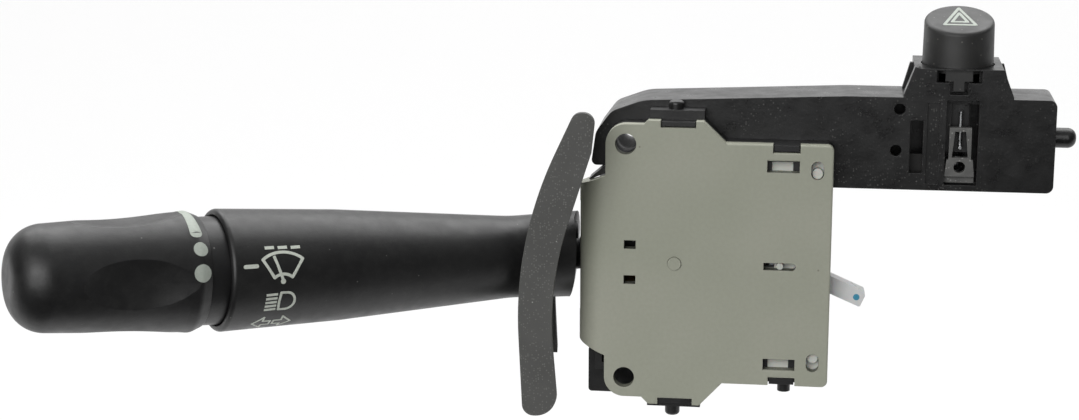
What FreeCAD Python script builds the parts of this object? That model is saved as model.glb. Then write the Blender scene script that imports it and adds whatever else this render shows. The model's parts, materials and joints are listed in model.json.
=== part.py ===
import FreeCAD, Part
import math
import os
import Sketcher
from FreeCAD import Placement, Rotation, Vector

# Combination stalk switch for a steering column, in millimetres.
# Origin: midpoint of the two column screw holes, on the front face of the base plate.
# +X towards the hazard arm's free end, -Y towards the driver, +Z up.

doc = FreeCAD.newDocument("StalkSwitch")
sheet = doc.addObject("Spreadsheet::Sheet", "Sizes")


class Size:
    """A number together with the sheet expression that gives it."""

    def __init__(self, value, text):
        self.value = float(value)
        self.text = text

    def __add__(self, other):
        return combine(self, "+", other)

    def __radd__(self, other):
        return combine(other, "+", self)

    def __sub__(self, other):
        return combine(self, "-", other)

    def __rsub__(self, other):
        return combine(other, "-", self)

    def __mul__(self, other):
        return combine(self, "*", other)

    def __rmul__(self, other):
        return combine(other, "*", self)

    def __truediv__(self, other):
        return combine(self, "/", other)

    def __neg__(self):
        return combine(0, "-", self)


def as_size(number):
    if isinstance(number, Size):
        return number
    return Size(number, "%.6f" % number)


def combine(left, sign, right):
    left = as_size(left)
    right = as_size(right)
    value = {
        "+": lambda: left.value + right.value,
        "-": lambda: left.value - right.value,
        "*": lambda: left.value * right.value,
        "/": lambda: left.value / right.value,
    }[sign]()
    return Size(value, "(%s %s %s)" % (left.text, sign, right.text))


def cosine(angle):
    angle = as_size(angle)
    return Size(math.cos(math.radians(angle.value)), "cos(%s * 1 deg)" % angle.text)


def sine(angle):
    angle = as_size(angle)
    return Size(math.sin(math.radians(angle.value)), "sin(%s * 1 deg)" % angle.text)


row_count = 0


def size(name, value):
    """Write one driving dimension to the sheet and return it."""
    global row_count
    row_count += 1
    sheet.set("A%d" % row_count, name)
    sheet.set("B%d" % row_count, "%g" % value)
    sheet.setAlias("B%d" % row_count, name)
    return Size(value, "Sizes." + name)


def bind(thing, prop, number):
    number = as_size(number)
    if "Sizes." in number.text:
        thing.setExpression(prop, number.text)


# Fits shared by many pieces
fit_gap = size("fit_gap", 0.3)
run_gap = size("run_gap", 0.08)
press_gap = size("press_gap", 0.02)
wall = size("wall", 2.0)

# Base plate
screw_pitch = size("screw_pitch", 67.3)
screw_bore = size("screw_bore", 2.95)
passage_gap = size("passage_gap", 0.3)
boss_radius = size("boss_radius", 5.6)
plate_thick = size("plate_thick", 3.0)
plate_right = size("plate_right", 57.2)
plate_half = size("plate_half", 34.5)
plate_corner = size("plate_corner", 1.8)
ear_top = size("ear_top", 40.4)
ear_low = size("ear_low", 41.2)
ear_right = size("ear_right", 21.4)
ear_slope = size("ear_slope", 6.2)
boss_neck = size("boss_neck", 5.0)
tab_notch_left = size("tab_notch_left", 9.6)
tab_notch_right = size("tab_notch_right", 19.4)
tab_notch_depth = size("tab_notch_depth", 1.9)
clip_notch_left = size("clip_notch_left", 40.6)
clip_notch_right = size("clip_notch_right", 48.1)
clip_notch_depth = size("clip_notch_depth", 2.3)
lip_radius = size("lip_radius", 7.8)
lip_depth = size("lip_depth", 9.0)
lip_top = size("lip_top", 24.4)
lip_low = size("lip_low", 27.4)
lip_slope = size("lip_slope", 3.6)
lip_relief_half = size("lip_relief_half", 16.0)
backing_top = size("backing_top", 2.8)
backing_low = size("backing_low", 0.9)
peep_x = size("peep_x", 1.4)
peep_z = size("peep_z", 5.05)
peep_wide = size("peep_wide", 3.3)
peep_tall = size("peep_tall", 2.45)
window_left = size("window_left", 39.1)
window_right = size("window_right", 48.0)
window_low = size("window_low", 26.7)
window_high = size("window_high", 29.9)
oval_x = size("oval_x", 52.9)
oval_half = size("oval_half", 1.75)
oval_low = size("oval_low", 24.9)
oval_high = size("oval_high", 30.1)

# Pivots and guides of the mechanism
pivot_x = size("pivot_x", 13.9)
pivot_y = size("pivot_y", 14.0)
front_trunnion = size("front_trunnion", 1.85)
rear_trunnion = size("rear_trunnion", 3.0)
trunnion_proud = size("trunnion_proud", 0.4)
cancel_x = size("cancel_x", 43.2)
cancel_post = size("cancel_post", 0.95)
cancel_travel = size("cancel_travel", 3.3)
slot_left = size("slot_left", 38.7)
slot_half = size("slot_half", 1.05)

# Switch housing
flange_back = size("flange_back", 8.7)
box_left = size("box_left", 9.0)
box_back = size("box_back", 30.0)
box_top = size("box_top", 20.5)
box_low = size("box_low", 34.0)
port_half = size("port_half", 10.2)
port_far = size("port_far", 22.0)
port_near = size("port_near", 5.8)
collar_wall = size("collar_wall", 3.3)
collar_reach = size("collar_reach", 4.5)
block_left = size("block_left", 11.3)
block_right = size("block_right", 4.0)
block_low = size("block_low", 41.9)
block_top = size("block_top", 28.4)
block_near = size("block_near", 12.0)
block_back = size("block_back", 28.0)
tab_left = size("tab_left", 6.4)
tab_right = size("tab_right", 21.5)
tab_height = size("tab_height", 2.4)
tab_near = size("tab_near", 4.0)
peg_x = size("peg_x", 13.5)
peg_y = size("peg_y", 6.4)
peg_radius = size("peg_radius", 2.1)
peg_reach = size("peg_reach", 3.6)
small_peg_x = size("small_peg_x", 45.0)
small_peg_radius = size("small_peg_radius", 1.8)
small_peg_reach = size("small_peg_reach", 3.4)
clip_step = size("clip_step", 0.7)
pocket_floor = size("pocket_floor", 7.0)
lead_left = size("lead_left", 12.0)
lead_right = size("lead_right", 20.0)
lead_near = size("lead_near", 17.0)
lead_far = size("lead_far", 21.0)
pawl_port_low = size("pawl_port_low", 15.0)
pawl_port_high = size("pawl_port_high", 3.5)
post_radius = size("post_radius", 2.6)
post_inset = size("post_inset", 2.6)
post_near = size("post_near", 19.0)

# Rear cover, connector and contact board
cover_thick = size("cover_thick", 2.5)
board_thick = size("board_thick", 2.0)
hub_radius = size("hub_radius", 5.5)
hub_height = size("hub_height", 4.2)
shroud_left = size("shroud_left", 21.0)
shroud_right = size("shroud_right", 53.0)
shroud_low = size("shroud_low", 27.0)
shroud_top = size("shroud_top", 9.0)
shroud_depth = size("shroud_depth", 12.0)
shroud_wall = size("shroud_wall", 1.6)
shroud_floor = size("shroud_floor", 1.2)
pin_wide = size("pin_wide", 1.2)
pin_pitch = size("pin_pitch", 4.8)
pin_row = size("pin_row", 7.0)
pin_tip_gap = size("pin_tip_gap", 3.0)
screw_shank = size("screw_shank", 1.15)
screw_head = size("screw_head", 2.4)
screw_head_high = size("screw_head_high", 1.5)
screw_grip = size("screw_grip", 7.0)

# Hazard arm
arm_near = size("arm_near", 9.0)
arm_back = size("arm_back", 27.5)
arm_left = size("arm_left", 10.6)
arm_right = size("arm_right", 117.2)
arm_low = size("arm_low", 21.0)
arm_step = size("arm_step", 25.7)
arm_top = size("arm_top", 46.9)
arm_bend_x = size("arm_bend_x", 60.0)
arm_knee_x = size("arm_knee_x", 4.0)
arm_knee_z = size("arm_knee_z", 44.5)
arm_cheek_x = size("arm_cheek_x", 4.9)
arm_cheek_z = size("arm_cheek_z", 41.2)
arm_edge = size("arm_edge", 2.0)
ledge = size("ledge", 0.9)
arm_lid = size("arm_lid", 1.8)
arm_screw_radius = size("arm_screw_radius", 2.8)
arm_post_left = size("arm_post_left", 24.0)
arm_post_right = arm_right - size("arm_post_inset", 9.2)
arm_post_low = size("arm_post_low", 29.0)
arm_post_high = size("arm_post_high", 40.0)
locator_radius = size("locator_radius", 2.8)
locator_reach = size("locator_reach", 6.4)
locator_z = size("locator_z", 35.0)
locator_y = size("locator_y", 18.0)
groove_depth = size("groove_depth", 0.9)
dot_radius = size("dot_radius", 1.6)
channel_top = size("channel_top", 46.4)
channel_low = size("channel_low", 22.6)

# Hazard tower, cap and plunger
button_x = arm_right - size("button_inset", 26.6)
channel_left = button_x - size("channel_left_reach", 3.1)
channel_right = button_x + size("channel_right_reach", 5.7)
front_dot_x = button_x - size("front_dot_reach", 15.8)
front_dot_lean = size("front_dot_lean", 0.7)
front_dot_high = size("front_dot_high", 43.6)
front_dot_low = size("front_dot_low", 32.0)
front_slot_right = button_x - size("front_slot_reach", 9.2)
front_slot_wide = size("front_slot_wide", 3.6)
front_slot_low = size("front_slot_low", 25.7)
front_slot_top = size("front_slot_top", 40.6)
groove_right = button_x - size("groove_reach", 4.8)
groove_wide = size("groove_wide", 3.4)
groove_low = size("groove_low", 22.8)
groove_top = size("groove_top", 45.6)
button_y = size("button_y", 20.2)
cap_radius = size("cap_radius", 9.5)
cap_base = size("cap_base", 9.85)
cap_low = size("cap_low", 53.4)
cap_near_z = size("cap_near_z", 64.6)
cap_far_z = size("cap_far_z", 70.2)
cap_wall = size("cap_wall", 1.5)
cap_rim = size("cap_rim", 1.2)
cap_travel = size("cap_travel", 5.0)
tongue_half = size("tongue_half", 3.7)
tongue_low = size("tongue_low", 51.4)
tip_half = size("tip_half", 1.5)
tip_low = size("tip_low", 48.6)
tower_top = size("tower_top", 55.0)
tower_half = size("tower_half", 12.0)
tower_flare = size("tower_flare", 2.9)
tower_floor = size("tower_floor", 47.9)
tower_plate = size("tower_plate", 4.0)
sight_half = size("sight_half", 6.1)
sight_low = size("sight_low", 51.2)
sight_notch = size("sight_notch", 2.5)
sight_top = tower_top - size("sight_lip", 0.4)
plunger_half = size("plunger_half", 3.5)
plunger_near = size("plunger_near", 14.0)
plunger_far = size("plunger_far", 24.0)
plunger_low = size("plunger_low", 31.0)
plunger_head = size("plunger_head", 59.0)
head_thick = size("head_thick", 2.5)
wire_radius = size("wire_radius", 0.5)
wire_low = size("wire_low", 32.5)
wire_top = size("wire_top", 42.9)
finger_top = size("finger_top", 38.7)
finger_thick = size("finger_thick", 1.9)
finger_mid = button_x + size("finger_shift", 1.0)
finger_low = size("finger_low", 25.0)
finger_foot = size("finger_foot", 4.05)
finger_head = size("finger_head", 3.0)
finger_notch = size("finger_notch", 0.5)
finger_notch_z = size("finger_notch_z", 29.7)
finger_hole_low = size("finger_hole_low", 30.3)
finger_hole_top = size("finger_hole_top", 37.6)
finger_hole_foot = size("finger_hole_foot", 2.2)
finger_hole_head = size("finger_hole_head", 1.5)
finger_dot_z = size("finger_dot_z", 27.6)
contact_left = button_x - size("contact_reach", 13.6)
arm_post_mid = contact_left - size("arm_post_reach", 13.0)
contact_wide = size("contact_wide", 9.0)
contact_near = size("contact_near", 15.0)
contact_thick = size("contact_thick", 1.0)
contact_top = size("contact_top", 30.0)
contact_foot = size("contact_foot", 7.0)
strip_thick = size("strip_thick", 0.8)
strip_pitch = size("strip_pitch", 1.8)
heart_low = size("heart_low", 35.6)
heart_shoulder = size("heart_shoulder", 38.0)
heart_side = size("heart_side", 46.0)
heart_top = size("heart_top", 48.6)
heart_half = size("heart_half", 2.4)
heart_island = size("heart_island", 1.3)
heart_island_z = size("heart_island_z", 44.6)
heart_island_half = size("heart_island_half", 0.6)
seat_radius = size("seat_radius", 2.6)
seat_depth = size("seat_depth", 5.0)
spring_radius = size("spring_radius", 2.0)

# Turn carrier and detent
carrier_left = size("carrier_left", 8.0)
carrier_right = size("carrier_right", 8.4)
carrier_half = size("carrier_half", 7.5)
carrier_near = size("carrier_near", 3.6)
carrier_far = size("carrier_far", 24.0)
carrier_wall = size("carrier_wall", 2.4)
arm_half_z = size("arm_half_z", 4.2)
arm_half_y = size("arm_half_y", 4.0)
beam_hub = size("beam_hub", 6.0)
beam_pin_radius = size("beam_pin_radius", 1.5)
barrel_radius = size("barrel_radius", 3.2)
barrel_y = size("barrel_y", 15.5)
barrel_end = size("barrel_end", 30.0)
detent_radius = size("detent_radius", 1.8)
detent_tip = size("detent_tip", 1.0)
detent_reach = size("detent_reach", 19.9)
ridge_radius = size("ridge_radius", 20.2)
notch_radius = size("notch_radius", 21.4)
turn_angle = size("turn_angle", 7.0)
cam_back = size("cam_back", 38.5)
cam_half = size("cam_half", 8.0)
cam_near = size("cam_near", 12.6)
pad_wide = size("pad_wide", 1.3)
pad_pitch = size("pad_pitch", 2.2)
pad_half = size("pad_half", 10.0)
pad_thick = size("pad_thick", 0.6)
blade_half = size("blade_half", 3.0)
bridge_thick = size("bridge_thick", 0.5)

# Self-cancelling slider and pawl
slider_left = size("slider_left", 29.5)
slider_right = size("slider_right", 49.0)
slider_half = size("slider_half", 4.5)
slider_near = size("slider_near", 3.3)
slider_back = size("slider_back", 6.4)
stud_radius = size("stud_radius", 1.6)
pawl_near = size("pawl_near", 6.9)
pawl_back = size("pawl_back", 11.4)
pawl_tail = size("pawl_tail", 3.0)
pawl_tail_half = size("pawl_tail_half", 2.7)
pawl_knee = size("pawl_knee", 2.6)
pawl_neck = size("pawl_neck", 14.0)
pawl_neck_top = size("pawl_neck_top", 3.9)
pawl_neck_low = size("pawl_neck_low", 9.0)
pawl_nose = size("pawl_nose", 23.4)
pawl_nose_top = size("pawl_nose_top", 8.0)
pawl_tip = size("pawl_tip", 23.8)
pawl_tip_z = size("pawl_tip_z", 9.4)
pawl_chin = size("pawl_chin", 22.4)
pawl_chin_z = size("pawl_chin_z", 12.6)
slider_window = size("slider_window", 3.2)
slider_web = size("slider_web", 0.6)
frame_left = size("frame_left", 36.6)
frame_back = size("frame_back", 6.3)
frame_bar_low = size("frame_bar_low", 23.0)
frame_bar_high = size("frame_bar_high", 31.6)
frame_post = size("frame_post", 1.45)
frame_post_z = size("frame_post_z", 26.4)

# Stalk, measured along its axis from the root point near the port
stalk_swing = size("stalk_swing", 34.0)
stalk_rise = size("stalk_rise", 4.0)
root_x = size("root_x", -15.3)
root_z = size("root_z", -1.55)
tube_trim = size("tube_trim", 0.85)
root_split = size("root_split", 4.0)
root_nose = size("root_nose", 6.5)
tube_root = size("tube_root", 12.75)
tube_waist = size("tube_waist", 11.5)
tube_waist_at = size("tube_waist_at", 21.0)
tube_shoulder = size("tube_shoulder", 15.1)
tube_shoulder_at = size("tube_shoulder_at", 74.0)
tube_mouth = size("tube_mouth", 16.4)
tube_end = size("tube_end", 108.6)
tube_rim = size("tube_rim", 1.2)
spigot_bore = size("spigot_bore", 9.3)
spigot_end = size("spigot_end", 38.0)
holder_bore = size("holder_bore", 11.9)
holder_near = size("holder_near", 58.0)
holder_end = size("holder_end", 84.0)
holder_wall = size("holder_wall", 3.0)
holder_floor = size("holder_floor", 8.0)
leads_start = size("leads_start", 12.0)
leads_thin = size("leads_thin", 2.4)
leads_thick = size("leads_thick", 4.2)
mouth_bore = size("mouth_bore", 14.68)
mouth_floor = size("mouth_floor", 90.0)
neck_radius = size("neck_radius", 14.38)
neck_near = size("neck_near", 97.0)
neck_lap = size("neck_lap", 3.0)
knob_gap = size("knob_gap", 5.0)
knob_near = tube_end + knob_gap
knob_rim = size("knob_rim", 16.1)
knob_rim_wide = size("knob_rim_wide", 2.8)
knob_rim_drop = size("knob_rim_drop", 1.2)
knob_mid = size("knob_mid", 15.0)
knob_mid_at = knob_near + size("knob_waist", 22.4)
knob_far = size("knob_far", 13.6)
knob_end = knob_near + size("knob_length", 49.7)
knob_dome = size("knob_dome", 9.5)
knob_wall = size("knob_wall", 2.2)
flute_depth = size("flute_depth", 2.3)
flute_radius = size("flute_radius", 27.0)
flute_lift = size("flute_lift", 1.0)
flute_sag = size("flute_sag", 1.5)
flute_bend = size("flute_bend", 45.0)
flute_near = knob_near + size("flute_start", 3.6)
flute_far = knob_near + size("flute_stop", 39.4)
flute_count = 4
flute_roll = 2.0
rod_radius = size("rod_radius", 2.6)
rod_collar = size("rod_collar", 1.5)
rod_flange_at = mouth_floor + size("rod_flange_lift", 3.0)
rod_flange_thick = size("rod_flange_thick", 2.0)
rod_flange_radius = size("rod_flange_radius", 8.1)
rod_end = knob_near + size("rod_end_reach", 6.0)
rod_near = holder_near + size("rod_inset", 6.0)
rotor_radius = size("rotor_radius", 12.1)
rotor_thick = size("rotor_thick", 3.0)
spring_wire = size("spring_wire", 0.45)
washer_spring_wire = size("washer_spring_wire", 0.5)
washer_spring_gap = size("washer_spring_gap", 1.4)
detent_spring_radius = size("detent_spring_radius", 1.3)
detent_spring_wire = size("detent_spring_wire", 0.3)
detent_grip = size("detent_grip", 3.6)

# Closing shield on the stalk
shield_front = size("shield_front", 12.0)
shield_thick = size("shield_thick", 1.8)
shield_far = size("shield_far", 20.0)
shield_mid = size("shield_mid", 6.5)
shield_step_z = size("shield_step_z", 19.0)
shield_slope = size("shield_slope", 8.0)
shield_top = size("shield_top", 44.3)
shield_top_left = size("shield_top_left", 13.0)
shield_top_right = size("shield_top_right", 7.2)
shield_crown = size("shield_crown", 3.0)
shield_shoulder_x = size("shield_shoulder_x", 8.4)
shield_shoulder_z = size("shield_shoulder_z", 33.0)
shield_outer_x = size("shield_outer_x", 29.7)
shield_outer_z = size("shield_outer_z", 8.0)
shield_outer_bend = size("shield_outer_bend", 112.0)
shield_inner_x = size("shield_inner_x", 20.4)
shield_inner_z = size("shield_inner_z", 5.0)
shield_inner_bend = size("shield_inner_bend", 95.0)
shield_foot = size("shield_foot", 42.2)
shield_foot_left = size("shield_foot_left", 27.3)
shield_foot_right = size("shield_foot_right", 17.2)
shield_heel = size("shield_heel", 3.2)
shield_toe = size("shield_toe", 6.0)
shield_hem = size("shield_hem", 6.6)
shield_hem_low = size("shield_hem_low", 32.5)

nodes = []


def node(thing, name):
    """Give a finished piece its name and list it for writing."""
    thing.Label = name
    nodes.append(thing)
    return thing


def new_body(name):
    return doc.addObject("PartDesign::Body", name + "_body")


def origin_feature(body, role):
    return [item for item in body.Origin.OriginFeatures if item.Role == role][0]


def circle(across, up, radius):
    return ("circle", as_size(across), as_size(up), as_size(radius))


def oblong(left, right, low, high, corner=None):
    """Corners of an upright rectangle, rounded when a corner radius is given."""
    points = [(left, low), (right, low), (right, high), (left, high)]
    if corner is None:
        return points
    return [(across, up, corner) for across, up in points]


def draw_circle(sketch, loop):
    first = sketch.GeometryCount
    datum = sketch.ConstraintCount
    across, up, radius = loop[1:]
    sketch.addGeometry(
        Part.Circle(Vector(across.value, up.value, 0), Vector(0, 0, 1), radius.value), False)
    sketch.addConstraint([
        Sketcher.Constraint("DistanceX", -1, 1, first, 3, across.value),
        Sketcher.Constraint("DistanceY", -1, 1, first, 3, up.value),
        Sketcher.Constraint("Radius", first, radius.value),
    ])
    for step, number in enumerate((across, up, radius)):
        bind(sketch, "Constraints[%d]" % (datum + step), number)


def rounding(before, corner, after, radius):
    """Tangent points and centre of the arc that rounds one corner."""
    back = (before - corner).normalize()
    ahead = (after - corner).normalize()
    half = math.acos(back.dot(ahead)) / 2
    run = radius / math.tan(half)
    centre = corner + (back + ahead).normalize() * (radius / math.sin(half))
    turns_left = (corner - before).cross(after - corner).z > 0
    return corner + back * run, corner + ahead * run, centre, turns_left


def draw_outline(sketch, loop):
    """Draw lines between the corners, with a tangent arc at each rounded one."""
    count = len(loop)
    places = [(as_size(corner[0]), as_size(corner[1])) for corner in loop]
    points = [Vector(across.value, up.value, 0) for across, up in places]
    radii = [as_size(corner[2]) if len(corner) > 2 else None for corner in loop]
    arcs = {}
    for index, radius in enumerate(radii):
        if radius is not None:
            arcs[index] = rounding(points[index - 1], points[index],
                                   points[(index + 1) % count], radius.value)
    first = sketch.GeometryCount
    shapes = []
    for index in range(count):
        after = (index + 1) % count
        start = arcs[index][1] if index in arcs else points[index]
        end = arcs[after][0] if after in arcs else points[after]
        shapes.append(Part.LineSegment(start, end))
    arc_place = {}
    for index, (start, end, centre, turns_left) in arcs.items():
        angles = [math.atan2(point.y - centre.y, point.x - centre.x) for point in (start, end)]
        if not turns_left:
            angles.reverse()
        arc_place[index] = first + len(shapes)
        shapes.append(Part.ArcOfCircle(Part.Circle(centre, Vector(0, 0, 1), radii[index].value),
                                       angles[0], angles[1]))
    sketch.addGeometry(shapes, False)
    rules = []
    datums = []
    for index in range(count):
        line_in = first + (index - 1) % count
        line_out = first + index
        if index in arcs:
            mark = sketch.addGeometry(Part.Point(points[index]), True)
            arc = arc_place[index]
            near_end, far_end = (1, 2) if arcs[index][3] else (2, 1)
            rules.append(Sketcher.Constraint("Tangent", line_in, 2, arc, near_end))
            rules.append(Sketcher.Constraint("Tangent", line_out, 1, arc, far_end))
            rules.append(Sketcher.Constraint("PointOnObject", mark, 1, line_in))
            rules.append(Sketcher.Constraint("PointOnObject", mark, 1, line_out))
            datums.append((len(rules), radii[index]))
            rules.append(Sketcher.Constraint("Radius", arc, radii[index].value))
        else:
            mark = line_out
            rules.append(Sketcher.Constraint("Coincident", line_in, 2, line_out, 1))
        datums.append((len(rules), places[index][0]))
        rules.append(Sketcher.Constraint("DistanceX", -1, 1, mark, 1, points[index].x))
        datums.append((len(rules), places[index][1]))
        rules.append(Sketcher.Constraint("DistanceY", -1, 1, mark, 1, points[index].y))
    base = sketch.ConstraintCount
    sketch.addConstraint(rules)
    for place, number in datums:
        bind(sketch, "Constraints[%d]" % (base + place), number)


def new_sketch(body, name, plane, loops, start=0.0):
    """A sketch on one of the body's planes, moved along +X, +Y or +Z to its start."""
    sketch = body.newObject("Sketcher::SketchObject", name + "_sketch")
    sketch.AttachmentSupport = (origin_feature(body, plane + "_Plane"), [""])
    sketch.MapMode = "FlatFace"
    shift = -as_size(start) if plane == "XZ" else as_size(start)
    sketch.AttachmentOffset = Placement(Vector(0, 0, shift.value), Rotation())
    bind(sketch, "AttachmentOffset.Base.z", shift)
    for loop in loops:
        if loop[0] == "circle":
            draw_circle(sketch, loop)
        else:
            draw_outline(sketch, loop)
    return sketch


def slab(body, name, plane, loops, start, end):
    """Pad closed outlines from one depth to another along the plane's positive axis."""
    sketch = new_sketch(body, name, plane, loops, start)
    pad = body.newObject("PartDesign::Pad", name)
    pad.Profile = sketch
    length = as_size(end) - start
    pad.Length = length.value
    bind(pad, "Length", length)
    pad.Reversed = plane == "XZ"
    doc.recompute()
    return pad


def cut(body, name, plane, loops, start, end):
    """Pocket closed outlines between two depths, and make sure that material went."""
    before = body.Shape.Volume
    sketch = new_sketch(body, name, plane, loops, start)
    pocket = body.newObject("PartDesign::Pocket", name)
    pocket.Profile = sketch
    length = as_size(end) - start
    pocket.Length = length.value
    bind(pocket, "Length", length)
    pocket.Reversed = plane != "XZ"
    doc.recompute()
    if body.Shape.Volume >= before:
        raise ValueError("nothing was cut by " + name)
    return pocket


def turned(body, name, loop, axis="H_Axis"):
    """Revolve an outline drawn on the XZ plane about X (H_Axis) or Z (V_Axis)."""
    sketch = new_sketch(body, name, "XZ", [loop])
    turn = body.newObject("PartDesign::Revolution", name)
    turn.Profile = sketch
    turn.ReferenceAxis = (sketch, [axis])
    turn.Angle = 360
    doc.recompute()
    return turn


def rounded(body, name, radius, chosen):
    """Fillet the edges of the body that the test picks out."""
    doc.recompute()
    tip = body.Tip
    names = ["Edge%d" % (place + 1) for place, edge in enumerate(tip.Shape.Edges) if chosen(edge)]
    fillet = body.newObject("PartDesign::Fillet", name)
    fillet.Base = (tip, names)
    fillet.Radius = as_size(radius).value
    bind(fillet, "Radius", radius)
    doc.recompute()
    return fillet


def join(name, pieces):
    fused = doc.addObject("Part::MultiFuse", name + "_join")
    fused.Shapes = pieces
    doc.recompute()
    return fused


def take(name, base, tool):
    """Subtract one object from another, and make sure that material went."""
    rest = doc.addObject("Part::Cut", name + "_cut")
    rest.Base = base
    rest.Tool = tool
    doc.recompute()
    if rest.Shape.Volume >= base.Shape.Volume:
        raise ValueError("nothing was taken by " + name)
    return rest


def place_at(thing, across, deep, up, rotation=Rotation()):
    """Place a piece, with its base point bound to the sheet."""
    spot = [as_size(number) for number in (across, deep, up)]
    thing.Placement = Placement(Vector(*[number.value for number in spot]), rotation)
    for letter, number in zip("xyz", spot):
        bind(thing, "Placement.Base." + letter, number)
    return thing


def rod(name, radius, length, across, deep, up, direction):
    """A round bar from a base point along a direction."""
    bar = doc.addObject("Part::Cylinder", name + "_rod")
    bar.Radius = as_size(radius).value
    bar.Height = as_size(length).value
    bind(bar, "Radius", radius)
    bind(bar, "Height", length)
    return place_at(bar, across, deep, up, Rotation(Vector(0, 0, 1), direction))


def brick(name, left, right, near, far, low, high):
    """A plain block between named faces."""
    block = doc.addObject("Part::Box", name + "_block")
    spans = {"Length": right - left, "Width": far - near, "Height": high - low}
    for prop, span in spans.items():
        span = as_size(span)
        setattr(block, prop, span.value)
        bind(block, prop, span)
    return place_at(block, left, near, low)


def coil(name, radius, wire, length, turns):
    """A compression spring about its own Z axis, standing on z = 0."""
    spring = new_body(name)
    sketch = new_sketch(spring, name, "XZ", [circle(radius, wire, wire)])
    helix = spring.newObject("PartDesign::AdditiveHelix", name + "_turns")
    helix.Profile = sketch
    helix.ReferenceAxis = (sketch, ["V_Axis"])
    helix.Mode = "pitch-height-angle"
    rise = as_size(length) - 2 * wire
    helix.Height = rise.value
    helix.Pitch = (rise / turns).value
    bind(helix, "Height", rise)
    bind(helix, "Pitch", rise / turns)
    doc.recompute()
    return spring


def stalk_turn(roll=0.0):
    """The rotation that lays local +X along the stalk, away from the housing."""
    return Rotation(180 + stalk_swing.value, -stalk_rise.value, roll)


def on_stalk(thing, distance=0.0, rotation=None):
    """Place a piece at a distance along the stalk's axis; by default its X lies on the axis."""
    across = root_x - distance * cosine(stalk_swing) * cosine(stalk_rise)
    deep = pivot_y - distance * sine(stalk_swing) * cosine(stalk_rise)
    up = root_z + distance * sine(stalk_rise)
    return place_at(thing, across, deep, up, rotation or stalk_turn())


def on_plane(edge, axis, place, reach=0.01):
    """Whether a whole edge lies on the plane where one coordinate has a value."""
    box = edge.BoundBox
    low = getattr(box, axis + "Min")
    high = getattr(box, axis + "Max")
    place = as_size(place).value
    return abs(low - place) < reach and abs(high - place) < reach


# Base plate
screw_z = screw_pitch / 2
boss_edge = screw_z + boss_radius


def plate_outline(inset):
    """The plate's outline, drawn in by an inset; upper side first."""
    right = plate_right - inset
    half = plate_half - inset
    left = boss_radius - inset
    boss = boss_edge - inset

    def side(sign, ear):
        ear = ear - inset
        return [
            (right, half * sign, plate_corner),
            (clip_notch_right, half * sign),
            (clip_notch_right, (half - clip_notch_depth) * sign),
            (clip_notch_left, (half - clip_notch_depth) * sign),
            (clip_notch_left, half * sign),
            (ear_right + ear_slope, half * sign),
            (ear_right, ear * sign),
            (tab_notch_right, ear * sign),
            (tab_notch_right, (ear - tab_notch_depth) * sign),
            (tab_notch_left, (ear - tab_notch_depth) * sign),
            (tab_notch_left, ear * sign),
            (boss_neck + ear - boss, ear * sign),
            (boss_neck, boss * sign),
            (-left, boss * sign, boss_radius - inset),
        ]

    upper = side(1, ear_top)
    lower = side(-1, ear_low)
    return upper + lower[::-1]


lip_left = boss_radius + lip_radius
plate = new_body("base_plate")
slab(plate, "plate", "XZ", [plate_outline(as_size(0))], 0, plate_thick)
lip_inner = lip_radius - plate_thick
slab(plate, "lip", "XY", [[
    (-boss_radius + ledge, 0),
    (-lip_left, 0, lip_radius),
    (-lip_left, lip_depth),
    (-boss_radius - lip_inner, lip_depth),
    (-boss_radius - lip_inner, plate_thick, lip_inner),
    (-boss_radius + ledge, plate_thick),
]], -lip_low, lip_top)
for sign, side, lip_end in ((1, "upper", lip_top), (-1, "lower", lip_low)):
    cut(plate, side + "_lip_slope", "XZ", [[
        (-boss_radius, lip_end * sign),
        (-lip_left - 1, (lip_end - lip_slope) * sign),
        (-lip_left - 1, (lip_end + 1) * sign),
        (-boss_radius, (lip_end + 1) * sign),
    ]], -1, lip_depth + 1)
cut(plate, "lip_relief", "XZ",
    [oblong(-lip_left - 1, -boss_radius - 1, -lip_relief_half, lip_relief_half)],
    port_near, lip_depth + 1)
plate_holes = []
for sign in (1, -1):
    plate_holes.append(circle(0, screw_z * sign, screw_bore))
    plate_holes.append(oblong(peep_x - peep_wide / 2, peep_x + peep_wide / 2,
                              peep_z * sign - peep_tall / 2, peep_z * sign + peep_tall / 2))
    low, high = (window_low, window_high) if sign > 0 else (-window_high, -window_low)
    plate_holes.append(oblong(window_left, window_right, low, high))
    low, high = (oval_low, oval_high) if sign > 0 else (-oval_high, -oval_low)
    plate_holes.append(oblong(oval_x - oval_half, oval_x + oval_half, low, high,
                              oval_half - press_gap))
plate_holes.append(circle(pivot_x, 0, front_trunnion + run_gap))
slot_right = cancel_x + cancel_travel + cancel_post + run_gap * 2
plate_holes.append([
    (slot_left, -slot_half),
    (slot_right, -slot_half, slot_half - press_gap),
    (slot_right, slot_half, slot_half - press_gap),
    (slot_left, slot_half),
])
cut(plate, "plate_holes", "XZ", plate_holes, -1, plate_thick + 1)
rounded(plate, "plate_edge", 0.5, lambda edge: on_plane(edge, "Y", 0)
        and abs(edge.BoundBox.Center.z) > plate_half.value - 5
        and edge.BoundBox.ZMax - edge.BoundBox.ZMin < 0.01
        and edge.BoundBox.Center.x > 20 and edge.Length > 6.5)
node(plate, "base_plate")

# Switch housing
inner_left = box_left - wall
inner_right = plate_right - fit_gap - wall
inner_low = box_low - wall
inner_top = box_top - wall
box_right = plate_right - fit_gap

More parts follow.
